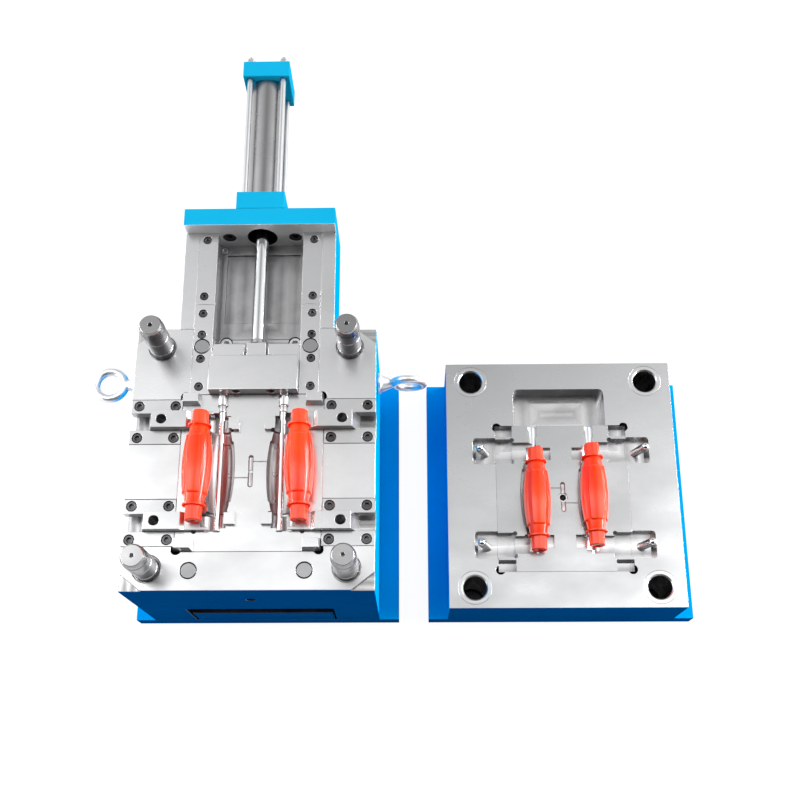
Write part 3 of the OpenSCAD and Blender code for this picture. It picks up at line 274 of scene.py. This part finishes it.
def milled_steel(name, dark, light, rough, centre, half, step):
    """A milled pocket floor: the cutter went round and round, a step nearer the middle each time,
    so its marks are nested rectangles: the larger of the distances past a middle rectangle, repeated.
    That rectangle has the given centre and half its size on each side."""
    finish, tree, main = shader(name)
    main.inputs["Metallic"].default_value = 1
    place = tree.nodes.new("ShaderNodeTexCoord")
    split = tree.nodes.new("ShaderNodeSeparateXYZ")
    tree.links.new(place.outputs["Object"], split.inputs["Vector"])

    def maths(operation, first, second=0.0):
        node = tree.nodes.new("ShaderNodeMath")
        node.operation = operation
        for socket, value in zip(node.inputs, (first, second)):
            if isinstance(value, float):
                socket.default_value = value
            else:
                tree.links.new(value, socket)
        return node.outputs[0]

    past = []
    for axis, middle, reach in zip("XY", centre, half):
        away = maths("ABSOLUTE", maths("SUBTRACT", split.outputs[axis], middle))
        past.append(maths("SUBTRACT", away, reach))
    turn = maths("MAXIMUM", *past)
    tracks = maths("DIVIDE", maths("PINGPONG", turn, step), step)
    stain = noise(tree, Scale=38, Detail=6)
    lines = noise(tree, (60, 1400, 60), Scale=1, Detail=2)
    mixed = maths("ADD", maths("MULTIPLY", tracks, 0.35), maths("MULTIPLY", stain, 0.65))
    tree.links.new(shades(tree, mixed, dark, light, 0.32, 0.68), main.inputs["Base Color"])
    tree.links.new(spread(tree, mixed, rough + 0.1, rough - 0.08), main.inputs["Roughness"])
    ridges = relief(tree, tracks, 0.0005, 0.3)
    tree.links.new(relief(tree, lines, 0.00004, 0.3, ridges), main.inputs["Normal"])
    return finish


lines_along_x = (40, 1500, 40)
plate_steel = ground_steel(
    "plate_ground_steel", (0.52, 0.525, 0.53), (0.66, 0.665, 0.67), 0.30, lines_along_x)
cavity_steel = ground_steel(
    "cavity_ground_steel", (0.40, 0.405, 0.41), (0.51, 0.515, 0.52), 0.27, lines_along_x)
pocket_steel = milled_steel(
    "slide_pocket_milled_steel", (0.30, 0.30, 0.305), (0.50, 0.50, 0.505), 0.34,
    centre=(0.1, 0.0), half=(0.01, 0.01), step=0.004)
parting_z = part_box("core_insert")[1].z - 0.010


def sunk_faces(level):
    """Faces whose middle lies more than half a millimetre below a level."""
    return lambda centres, normals: centres[:, 2] < level - 0.0005


def ring_recesses(centres, normals):
    """The recess round each of the four return pins, in the core plate and the rear rails, darkened as
    painted shade.
    """
    pin_x, pin_y, row_middle, recess_radius = 0.0565, 0.120, 0.018, 0.0105
    away = np.hypot(np.abs(centres[:, 0]) - pin_x, np.abs(centres[:, 1] - row_middle) - pin_y)
    return (away < recess_radius) & (centres[:, 2] < parting_z - 0.0003)


def lifting_hole(centres, normals):
    """The wall and the bottom of the tapped hole in the front of the core plate, darkened as painted shade.
    """
    hole_radius, hole_depth = 0.006, 0.0225
    deep = centres[:, 1] - core_low.y
    return (np.abs(centres[:, 0]) < hole_radius) & (deep > 0.0002) & (deep < hole_depth)


core_plate = broken_edges(
    "core_plate", 0.0005,
    [(plate_steel, None), (pocket_steel, sunk_faces(parting_z)), (painted_shade_steel, ring_recesses)]
    + painted(outside_faces(core_low, core_high)) + [(painted_shade_steel, lifting_hole)],
    "core_half")

cavity_low, cavity_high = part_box("cavity_plate")
cavity_middle = (cavity_low.x + cavity_high.x) / 2
room_steel = milled_steel(
    "head_room_milled_steel", (0.36, 0.36, 0.365), (0.60, 0.60, 0.605), 0.30,
    centre=(cavity_middle, 0.105), half=(0.02, 0.004), step=0.009)
cavity_plate = broken_edges(
    "cavity_plate", 0.0002,
    [(cavity_steel, None), (room_steel, sunk_faces(cavity_high.z))]
    + painted(outside_faces(cavity_low, cavity_high)),
    "cavity_half")


# INSERTS
# Hardened tool steel blocks let into both plates, with the corner interlocks, the runner and the two
# grip impressions. Flat faces are finely ground, the impressions are polished to a dark mirror.
lines_along_y = (1300, 50, 50)
insert_steel = ground_steel(
    "insert_ground_steel", (0.54, 0.545, 0.55), (0.67, 0.675, 0.68), 0.26, lines_along_y)
cavity_insert_steel = ground_steel(
    "cavity_insert_steel", (0.37, 0.375, 0.38), (0.48, 0.485, 0.49), 0.25, lines_along_y)
mirror_steel = ground_steel(
    "impression_polished_steel", (0.50, 0.505, 0.51), (0.68, 0.685, 0.69), 0.30, (60, 700, 60),
    depth=0.00001)
return_steel = ground_steel(
    "return_pin_steel", (0.26, 0.265, 0.27), (0.34, 0.345, 0.35), 0.30, (900, 60, 60))
grip_offset = 0.031
grip_reach = 0.017


def impression_faces(centre_x, level):
    """Curved faces sunk under the parting face and within a grip's radius of either impression axis."""
    def rule(centres, normals):
        sunk = centres[:, 2] < level - 0.0002
        near = np.abs(np.abs(centres[:, 0] - centre_x) - grip_offset) < grip_reach
        flat = np.abs(normals).max(axis=1) > 0.9999
        return sunk & near & ~flat
    return rule


# The inserts' outside walls take the near-black steel: painted shade in the joint round each insert.
core_insert = broken_edges(
    "core_insert", 0.0001,
    [(insert_steel, None), (pocket_steel, sunk_faces(parting_z)),
     (mirror_steel, impression_faces(0, parting_z)),
     (painted_shade_steel, outside_faces(*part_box("core_insert")))],
    "core_half")
cavity_insert = broken_edges(
    "cavity_insert", 0.0001,
    [(cavity_insert_steel, None), (room_steel, sunk_faces(cavity_high.z)),
     (mirror_steel, impression_faces(cavity_middle, cavity_high.z)),
     (painted_shade_steel, outside_faces(*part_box("cavity_insert")))],
    "cavity_half")


# GUIDE PINS, BUSHINGS, RETURN PINS AND STOP BUTTONS
# Case-hardened and ground round parts. The guide pins carry oil grooves and a centre hole, and the
# return pins stand flush in the core plate inside a clearance ring darkened as painted shade.
pin_steel = ground_steel(
    "hardened_pin_steel", (0.25, 0.25, 0.255), (0.39, 0.39, 0.395), 0.24, (60, 60, 1500))
bush_steel = ground_steel("bushing_steel", (0.42, 0.42, 0.425), (0.60, 0.60, 0.605), 0.26, (900, 900, 60))
for node, body, finish in (
    ("guide_pins", "core_half", pin_steel), ("stop_buttons", "core_half", pin_steel),
    ("return_pins", "ejector_stack", return_steel), ("ejector_pins", "ejector_stack", insert_steel),
    ("guide_bushings", "cavity_half", bush_steel), ("locating_ring", "cavity_half", plate_steel),
    ("sprue_bushing", "cavity_half", insert_steel),
):
    broken_edges(node, 0.0003, [(finish, None)], body)


# SIDE SLIDES AND THEIR GIB PLATES
# Four hardened slides run in T-shaped ways between screwed gib plates. Their noses close round the
# ends of the grips.
def bored_faces(node):
    """The curved walls of a plate's screw holes, which lie on no side of its outline: painted shade."""
    low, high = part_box(node)
    touching = 0.0003

    def rule(centres, normals):
        inside = np.ones(len(centres), dtype=bool)
        for axis in (0, 1):
            for place in (low[axis], high[axis]):
                inside &= np.abs(centres[:, axis] - place) > touching
        curved = np.abs(normals).max(axis=1) < 0.9999
        return inside & (centres[:, 2] < high.z - 0.0004) & curved
    return rule


slide_lines = (1300, 60, 60)
slide_steel = ground_steel("slide_steel", (0.46, 0.465, 0.47), (0.60, 0.605, 0.61), 0.27, slide_lines)
gib_steel = ground_steel("gib_steel", (0.44, 0.445, 0.45), (0.56, 0.565, 0.57), 0.30, (60, 1300, 60))
for side in ("left", "right"):
    for end in ("rear", "front"):
        place = side + "_" + end
        slide = broken_edges("side_slide_" + place, 0.0004, [(slide_steel, None)], "slide_" + place)
        gib_finishes = [(gib_steel, None), (painted_shade_steel, bored_faces("gibs_" + place))]
        gib = broken_edges("gibs_" + place, 0.0003, gib_finishes, "core_half")


# CORE PULL BED, RAILS AND BRACKET
# A channel block bolted behind the core plate with two pairs of L-shaped rails, and the bracket that
# carries the hydraulic cylinder. Tops are ground, outsides are painted.
bed_low, bed_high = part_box("core_pull_bed")
bed_steel = milled_steel(
    "bed_milled_steel", (0.24, 0.24, 0.245), (0.42, 0.42, 0.425), 0.36,
    centre=(0.0, (bed_low.y + bed_high.y) / 2), half=(0.004, 0.03), step=0.008)
rail_steel = ground_steel("rail_steel", (0.49, 0.495, 0.50), (0.64, 0.645, 0.65), 0.30, lines_along_y)


def bed_sides(centres, normals):
    """The outer upright sides and the underside of the bed."""
    return (np.abs(np.abs(centres[:, 0]) - bed_high.x) < 0.0003) | (normals[:, 2] < -0.5)


bed_finishes = [(plate_steel, None), (bed_steel, sunk_faces(bed_high.z)), (blue_paint, bed_sides)]
broken_edges("core_pull_bed", 0.0005, bed_finishes, "core_half")
for node in ("rail_left_front", "rail_left_rear", "rail_right_front", "rail_right_rear"):
    rail_finishes = [(rail_steel, None), (painted_shade_steel, bored_faces(node)), (painted_shade_steel, ring_recesses)]
    rail = broken_edges(node, 0.0003, rail_finishes, "core_half")


def bare_front(centres, normals):
    """The bracket's milled front face, and the walls of its holes."""
    low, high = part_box("cylinder_bracket")
    outside = outside_faces(low, high)(centres, normals) | (np.abs(normals[:, 2]) > 0.9999)
    return (normals[:, 1] < -0.9) | ~outside


def round_walls(centres, normals):
    """The walls of round holes in a piece whose other faces all lie square, darkened as painted shade."""
    return np.abs(normals).max(axis=1) < 0.9999


bracket_steel = ground_steel(
    "bracket_milled_steel", (0.78, 0.785, 0.79), (0.94, 0.945, 0.95), 0.50, (50, 50, 900))
# The bracket wears the paler copy of the blue paint as painted light, its hole walls painted shade.
bracket_finishes = [(lit_cyan_paint, None), (bracket_steel, bare_front), (painted_shade_steel, round_walls)]
bracket = broken_edges("cylinder_bracket", 0.0008, bracket_finishes, "core_half")


# HYDRAULIC CYLINDER
# Two painted square caps on a honed steel barrel, drawn together by four zinc-plated tie rods, with a
# brass hose nipple under each cap. The hard-chromed rod pulls the carriage.
tube_steel = ground_steel("barrel_steel", (0.29, 0.29, 0.295), (0.39, 0.39, 0.395), 0.26, (60, 60, 900))
zinc = ground_steel("zinc_plating", (0.50, 0.52, 0.54), (0.66, 0.67, 0.68), 0.34, (300, 300, 300))
chrome = ground_steel("hard_chrome", (0.58, 0.59, 0.60), (0.68, 0.69, 0.70), 0.13, (1100, 60, 1100), 0.00001)
brass = ground_steel("turned_brass", (0.55, 0.38, 0.14), (0.72, 0.52, 0.22), 0.26, (600, 600, 600))
black_oxide = ground_steel(
    "black_oxide_screws", (0.055, 0.055, 0.057), (0.13, 0.13, 0.133), 0.30, (400, 400, 400))
bracket_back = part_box("cylinder_bracket")[1].y + 0.001


def against_bracket(centres, normals):
    """Front faces that lie on the bracket's back, or before it: left unpainted, and darkened as painted
    shade.
    """
    return (normals[:, 1] < -0.9) & (centres[:, 1] < bracket_back)


for node in ("cylinder_front_cap", "cylinder_rear_cap"):
    # The caps wear the paler copy of the blue paint as painted light.
    cap = broken_edges(node, 0.0008, [(lit_cyan_paint, None), (painted_shade_steel, against_bracket)], "core_half")
broken_edges("cylinder_barrel", 0.0004, [(tube_steel, None)], "core_half")
broken_edges("tie_rods", 0.0003, [(zinc, None)], "core_half")
broken_edges("port_fittings", 0.0003, [(brass, None)], "core_half")
broken_edges("piston_rod", 0.0003, [(chrome, None)], "core_pull")
broken_edges("piston", 0.0003, [(pin_steel, None)], "core_pull")


# CORE PULL CARRIAGE AND CORE PINS
# A two-piece block that runs in the rails. The clamped head holds both chromed core pins, and a T
# coupling joins it to the rod.
carriage_steel = ground_steel("carriage_steel", (0.52, 0.525, 0.53), (0.68, 0.685, 0.69), 0.28, slide_lines)
for node in ("carriage_base", "carriage_head", "rod_coupling"):
    broken_edges(node, 0.0006, [(carriage_steel, None)], "core_pull")
broken_edges("core_pins", 0.0002, [(chrome, None)], "core_pull")
broken_edges("angle_pins", 0.0003, [(chrome, None)], "cavity_half")


# SCREWS
# Black-oxide socket head cap screws, sunk flush in round counterbores.
for node, body in (
    ("frame_screws", "core_half"), ("gib_screws", "core_half"), ("slide_stop_screws", "core_half"),
    ("rail_screws", "core_half"), ("bracket_screws", "core_half"), ("ejector_screws", "ejector_stack"),
    ("carriage_screws", "core_pull"), ("cavity_screws", "cavity_half"),
):
    broken_edges(node, 0.00035, [(black_oxide, None)], body)
broken_edges("bed_screws", 0.00035, [(zinc, None)], "core_half")


# EYE BOLTS
# Drop-forged lifting eyes, zinc plated: ring, neck and collar flow into each other with the soft
# fillets and slightly rough skin of a forging.
def forged_zinc():
    """Zinc over a forged skin: fine pitting and blotchy sheen."""
    finish, tree, main = shader("forged_zinc_plating")
    main.inputs["Metallic"].default_value = 1
    pits = noise(tree, Scale=700, Detail=4)
    blotches = noise(tree, Scale=120, Detail=4)
    tree.links.new(shades(tree, blotches, (0.66, 0.67, 0.68), (0.86, 0.87, 0.88)), main.inputs["Base Color"])
    tree.links.new(spread(tree, blotches, 0.46, 0.32), main.inputs["Roughness"])
    tree.links.new(relief(tree, pits, 0.0003, 0.35), main.inputs["Normal"])
    return finish


eye_zinc = forged_zinc()
for node in ("eye_bolt_left", "eye_bolt_right"):
    eye = broken_edges(node, 0.0003, [(eye_zinc, None)], "core_half")
    eye.modifiers.clear()
    skin = eye.modifiers.new("forged_skin", "REMESH")
    skin.mode = "VOXEL"
    skin.voxel_size = 0.0007
    skin.use_smooth_shade = True
    flow = eye.modifiers.new("forged_flow", "SMOOTH")
    flow.factor = 0.5
    flow.iterations = 14


# MOULDED GRIPS
# Glossy orange-red plastic: a barrel-shaped body with four raised panels, a thin collar at each end
# and a short faceted spigot beyond it, with the bore that the core pin leaves.
def grip_plastic():
    """Injection-moulded plastic: even colour with faint flow shades, a mirror-like skin, and light that
    passes just under it."""
    finish, tree, main = shader("orange_grip_plastic")
    main.inputs["Subsurface Weight"].default_value = 0.12
    main.inputs["Subsurface Scale"].default_value = 0.002
    main.inputs["Subsurface Radius"].default_value = (1.0, 0.25, 0.1)
    main.inputs["IOR"].default_value = 1.5
    main.inputs["Specular IOR Level"].default_value = 0.4
    flow = noise(tree, (1, 0.35, 1), Scale=60, Detail=3)
    skin = noise(tree, Scale=260, Detail=2)
    tree.links.new(shades(tree, flow, (0.94, 0.026, 0.001), (1.0, 0.056, 0.004)), main.inputs["Base Color"])
    tree.links.new(spread(tree, flow, 0.15, 0.09), main.inputs["Roughness"])
    tree.links.new(relief(tree, skin, 0.0001, 0.12), main.inputs["Normal"])
    return finish


orange_plastic = grip_plastic()


def step_up(value, edge, soft):
    """Rises smoothly from 0 to 1 as value passes edge, over twice the soft distance."""
    t = np.clip((value - edge) / (2 * soft) + 0.5, 0, 1)
    return t * t * (3 - 2 * t)


def grip_mesh(node, turn_z):
    """A moulded grip. Along the axis the radius follows spigot, collar and an arc-shaped body; the four
    raised panels lie within 35 degrees of each quarter direction and end in soft corners, with a faint
    lip along their rim; the spigots bend towards an octagon, and the skin closes through the bore."""
    low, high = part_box(node)
    centre = (np.array(low) + np.array(high)) / 2
    radius, neck, panel = 0.01351, 0.00888, 0.00116
    body_half, collar_half, half = 0.04053, 0.04284, 0.05730
    collar, spigot, bore = 0.01158, 0.00849, 0.0030
    panel_end, panel_angle, corner, lip_height = 0.0309, np.radians(35), 0.0022, 0.00028
    end_round = 0.0010
    rounds = 160
    steps = [panel_end, body_half, collar_half, half - 0.0005]
    finer = np.concatenate([np.linspace(s - 0.0009, s + 0.0009, 23) for s in steps])
    t = np.concatenate([np.linspace(0, half, 170), finer])
    t = np.unique(np.clip(np.concatenate([-t, t]), -half, half).round(6))[:, None]
    rows = len(t)
    a = np.linspace(0, 2 * np.pi, rounds, endpoint=False)[None, :]
    far = np.abs(t)
    sag = radius - neck
    arc = (body_half ** 2 + sag ** 2) / (2 * sag)
    barrel = radius - arc + np.sqrt(arc ** 2 - np.minimum(far, body_half) ** 2)
    aside = np.abs(np.mod(a + np.pi / 4, np.pi / 2) - np.pi / 4)
    out_x = aside * barrel - (panel_angle * barrel - corner)
    out_y = far - (panel_end - corner)
    beyond = np.hypot(np.maximum(out_x, 0), np.maximum(out_y, 0))
    within = np.minimum(np.maximum(out_x, out_y), 0)
    rim = beyond + within - corner
    lip = lip_height * np.exp(-((rim + 0.0013) / 0.0007) ** 2)
    body = barrel + panel * (1 - step_up(rim, 0.0, 0.0005)) + lip
    slice_angle = np.mod(a, np.pi / 4) - np.pi / 8
    octagon = (np.cos(np.pi / 8) / np.cos(slice_angle)) ** 0.75
    end_cylinder = spigot * octagon + 0 * t
    rounding = np.clip((far - (half - end_round)) / end_round, 0, 1)
    end_cylinder = end_cylinder - end_round * (1 - np.sqrt(1 - rounding ** 2))
    disc_edge = np.clip(np.abs(far - (body_half + collar_half) / 2) / ((collar_half - body_half) / 2), 0, 1)
    disc = collar - 0.0005 * (1 - np.sqrt(1 - disc_edge ** 4))
    to_collar = step_up(far, body_half, 0.0003)
    to_spigot = step_up(far, collar_half, 0.0003)
    skin = body * (1 - to_collar) + disc * (to_collar - to_spigot) + end_cylinder * to_spigot
    outer_rows = np.stack([skin * np.cos(a), t + 0 * a, skin * np.sin(a)], axis=-1)
    inner = bore + 0.0004 * rounding + 0 * a
    inner_rows = np.stack([inner * np.cos(a), t + 0 * a, inner * np.sin(a)], axis=-1)[::-1]
    keep = np.unique(np.linspace(0, rows - 1, 24).round().astype(int))
    grid = np.concatenate([outer_rows, inner_rows[keep]], axis=0)
    levels = len(grid)
    cos_z, sin_z = np.cos(turn_z), np.sin(turn_z)
    flat = grid.reshape(-1, 3)
    turned_x = flat[:, 0] * cos_z - flat[:, 1] * sin_z
    turned_y = flat[:, 0] * sin_z + flat[:, 1] * cos_z
    points = np.stack([turned_x, turned_y, flat[:, 2]], axis=-1) + centre
    row = np.arange(levels)[:, None]
    column = np.arange(rounds)[None, :]
    next_row = (row + 1) % levels
    next_column = (column + 1) % rounds
    quads = np.stack([row * rounds + column, row * rounds + next_column,
                      next_row * rounds + next_column, next_row * rounds + column], axis=-1).reshape(-1, 4)
    mesh = bpy.data.meshes.new(node + "_moulded")
    mesh.from_pydata(points, [], quads[:, ::-1])
    mesh.polygons.foreach_set("use_smooth", np.ones(len(mesh.polygons), dtype=bool))
    mesh.materials.append(orange_plastic)
    mesh.update()
    grip = bpy.data.objects.new(node + "_moulded", mesh)
    bpy.context.scene.collection.objects.link(grip)
    return grip


for node, body, turned in (
    ("grip_core_left", "grip_on_core_left", radians(-0.8)),
    ("grip_core_right", "grip_on_core_right", radians(1.2)),
    ("grip_cavity_left", "grip_in_cavity_left", 0.0),
    ("grip_cavity_right", "grip_in_cavity_right", 0.0),
):
    grip = grip_mesh(node, turned)
    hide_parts(node)
    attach(grip, body)


# STUDIO
# A white paper floor that the camera sees as pure white with the mould's soft shadow, and a white
# sky that is brightest overhead and greyer behind, which gives the ground steel its long shading.
def paper_floor():
    """Matt pale paper: only what the camera sees of it is lifted to white."""
    finish, tree, main = shader("paper_floor")
    main.inputs["Roughness"].default_value = 1
    main.inputs["Base Color"].default_value = (0.13, 0.13, 0.13, 1)
    main.inputs["Specular IOR Level"].default_value = 0
    seen = tree.nodes.new("ShaderNodeLightPath")
    lift = tree.nodes.new("ShaderNodeEmission")
    both = tree.nodes.new("ShaderNodeAddShader")
    out = tree.nodes["Material Output"]
    gain = tree.nodes.new("ShaderNodeMath")
    gain.operation = "MULTIPLY"
    gain.inputs[1].default_value = 0.93
    shown = seen.outputs["Is Camera Ray"]
    for other in ("Is Glossy Ray", "Is Transmission Ray"):
        either = tree.nodes.new("ShaderNodeMath")
        either.operation = "MAXIMUM"
        tree.links.new(shown, either.inputs[0])
        tree.links.new(seen.outputs[other], either.inputs[1])
        shown = either.outputs[0]
    tree.links.new(shown, gain.inputs[0])
    tree.links.new(gain.outputs[0], lift.inputs["Strength"])
    tree.links.new(main.outputs[0], both.inputs[0])
    tree.links.new(lift.outputs[0], both.inputs[1])
    tree.links.new(both.outputs[0], out.inputs["Surface"])
    return finish


floor_mesh = bpy.data.meshes.new("paper")
floor_reach, floor_z = 4, -0.0002
corner_signs = ((-1, -1), (1, -1), (1, 1), (-1, 1))
floor_corners = [(x * floor_reach, y * floor_reach, floor_z) for x, y in corner_signs]
floor_mesh.from_pydata(floor_corners, [], [(0, 1, 2, 3)])
floor_mesh.materials.append(paper_floor())
paper = bpy.data.objects.new("paper", floor_mesh)
bpy.context.scene.collection.objects.link(paper)


def studio_sky():
    """A white ceiling that greys towards the back of the room and is dark in front, by the Y part of a
    direction, and dims towards the middle, by its X part. What the camera sees of it, and what steel
    mirrors low over the paper, is plain white."""
    sky = bpy.data.worlds.new("studio_sky")
    sky.use_nodes = True
    tree = sky.node_tree
    ceiling = tree.nodes["Background"]
    ceiling.inputs["Strength"].default_value = 4.9
    way = tree.nodes.new("ShaderNodeTexCoord")
    parts = tree.nodes.new("ShaderNodeSeparateXYZ")
    tree.links.new(way.outputs["Generated"], parts.inputs["Vector"])
    half_way = tree.nodes.new("ShaderNodeMapRange")
    half_way.inputs["From Min"].default_value = -1
    tree.links.new(parts.outputs["Y"], half_way.inputs["Value"])
    across = tree.nodes.new("ShaderNodeValToRGB")
    ramp = across.color_ramp
    ramp.elements[0].color = (0.03, 0.03, 0.03, 1)
    ramp.elements[1].color = (0.20, 0.20, 0.20, 1)
    for place, level in (
        (0.30, 0.02), (0.42, 0.14), (0.47, 0.44), (0.50, 0.72), (0.55, 1.0), (0.59, 1.0), (0.61, 0.98),
        (0.6375, 0.76), (0.655, 0.54), (0.672, 0.43), (0.69, 0.37), (0.72, 0.33), (0.76, 0.28),
    ):
        ramp.elements.new(place).color = (level, level, level, 1)
    tree.links.new(half_way.outputs["Result"], across.inputs["Fac"])
    sideways = tree.nodes.new("ShaderNodeMath")
    sideways.operation = "ABSOLUTE"
    tree.links.new(parts.outputs["X"], sideways.inputs[0])
    walls = tree.nodes.new("ShaderNodeValToRGB")
    walls.color_ramp.elements[0].color = (0.34, 0.34, 0.34, 1)
    walls.color_ramp.elements[1].color = (0.545, 0.545, 0.545, 1)
    for place, level in (
        (0.06, 0.35), (0.12, 0.41), (0.20, 0.52), (0.28, 0.62), (0.42, 0.76), (0.60, 1.0), (0.85, 0.909),
    ):
        walls.color_ramp.elements.new(place).color = (level, level, level, 1)
    tree.links.new(sideways.outputs[0], walls.inputs["Fac"])
    both_ways = tree.nodes.new("ShaderNodeMix")
    both_ways.data_type = "RGBA"
    both_ways.blend_type = "MULTIPLY"
    both_ways.inputs["Factor"].default_value = 1
    tree.links.new(across.outputs["Color"], both_ways.inputs["A"])
    tree.links.new(walls.outputs["Color"], both_ways.inputs["B"])
    tree.links.new(both_ways.outputs["Result"], ceiling.inputs["Color"])
    backdrop = tree.nodes.new("ShaderNodeBackground")
    backdrop.inputs["Color"].default_value = (1, 1, 1, 1)
    rays = tree.nodes.new("ShaderNodeLightPath")
    low = tree.nodes.new("ShaderNodeMath")
    low.operation = "LESS_THAN"
    low.inputs[1].default_value = 0.25
    tree.links.new(parts.outputs["Z"], low.inputs[0])
    mirrored = tree.nodes.new("ShaderNodeMath")
    mirrored.operation = "MULTIPLY"
    tree.links.new(rays.outputs["Is Glossy Ray"], mirrored.inputs[0])
    tree.links.new(low.outputs[0], mirrored.inputs[1])
    seen = rays.outputs["Is Camera Ray"]
    for other in (rays.outputs["Is Transmission Ray"], mirrored.outputs[0]):
        either = tree.nodes.new("ShaderNodeMath")
        either.operation = "MAXIMUM"
        tree.links.new(seen, either.inputs[0])
        tree.links.new(other, either.inputs[1])
        seen = either.outputs[0]
    pick = tree.nodes.new("ShaderNodeMixShader")
    tree.links.new(seen, pick.inputs["Fac"])
    tree.links.new(ceiling.outputs[0], pick.inputs[1])
    tree.links.new(backdrop.outputs[0], pick.inputs[2])
    tree.links.new(pick.outputs[0], tree.nodes["World Output"].inputs["Surface"])
    return sky


bpy.context.scene.world = studio_sky()
lit_point = Vector((0.12, 0.08, 0.1))
for name, place, power in (
    ("right_strip_box", (1.7, 0.25, 0.55), 34),
    ("left_strip_box", (-1.4, 0.10, 0.50), 20),
):
    lamp = bpy.data.lights.new(name, "AREA")
    lamp.shape = "RECTANGLE"
    lamp.size = 1.5
    lamp.size_y = 0.14
    lamp.energy = power
    softbox = bpy.data.objects.new(name, lamp)
    softbox.location = place
    softbox.rotation_euler = (lit_point - Vector(place)).to_track_quat("-Z", "Y").to_euler()
    bpy.context.scene.collection.objects.link(softbox)

bpy.context.view_layer.update()
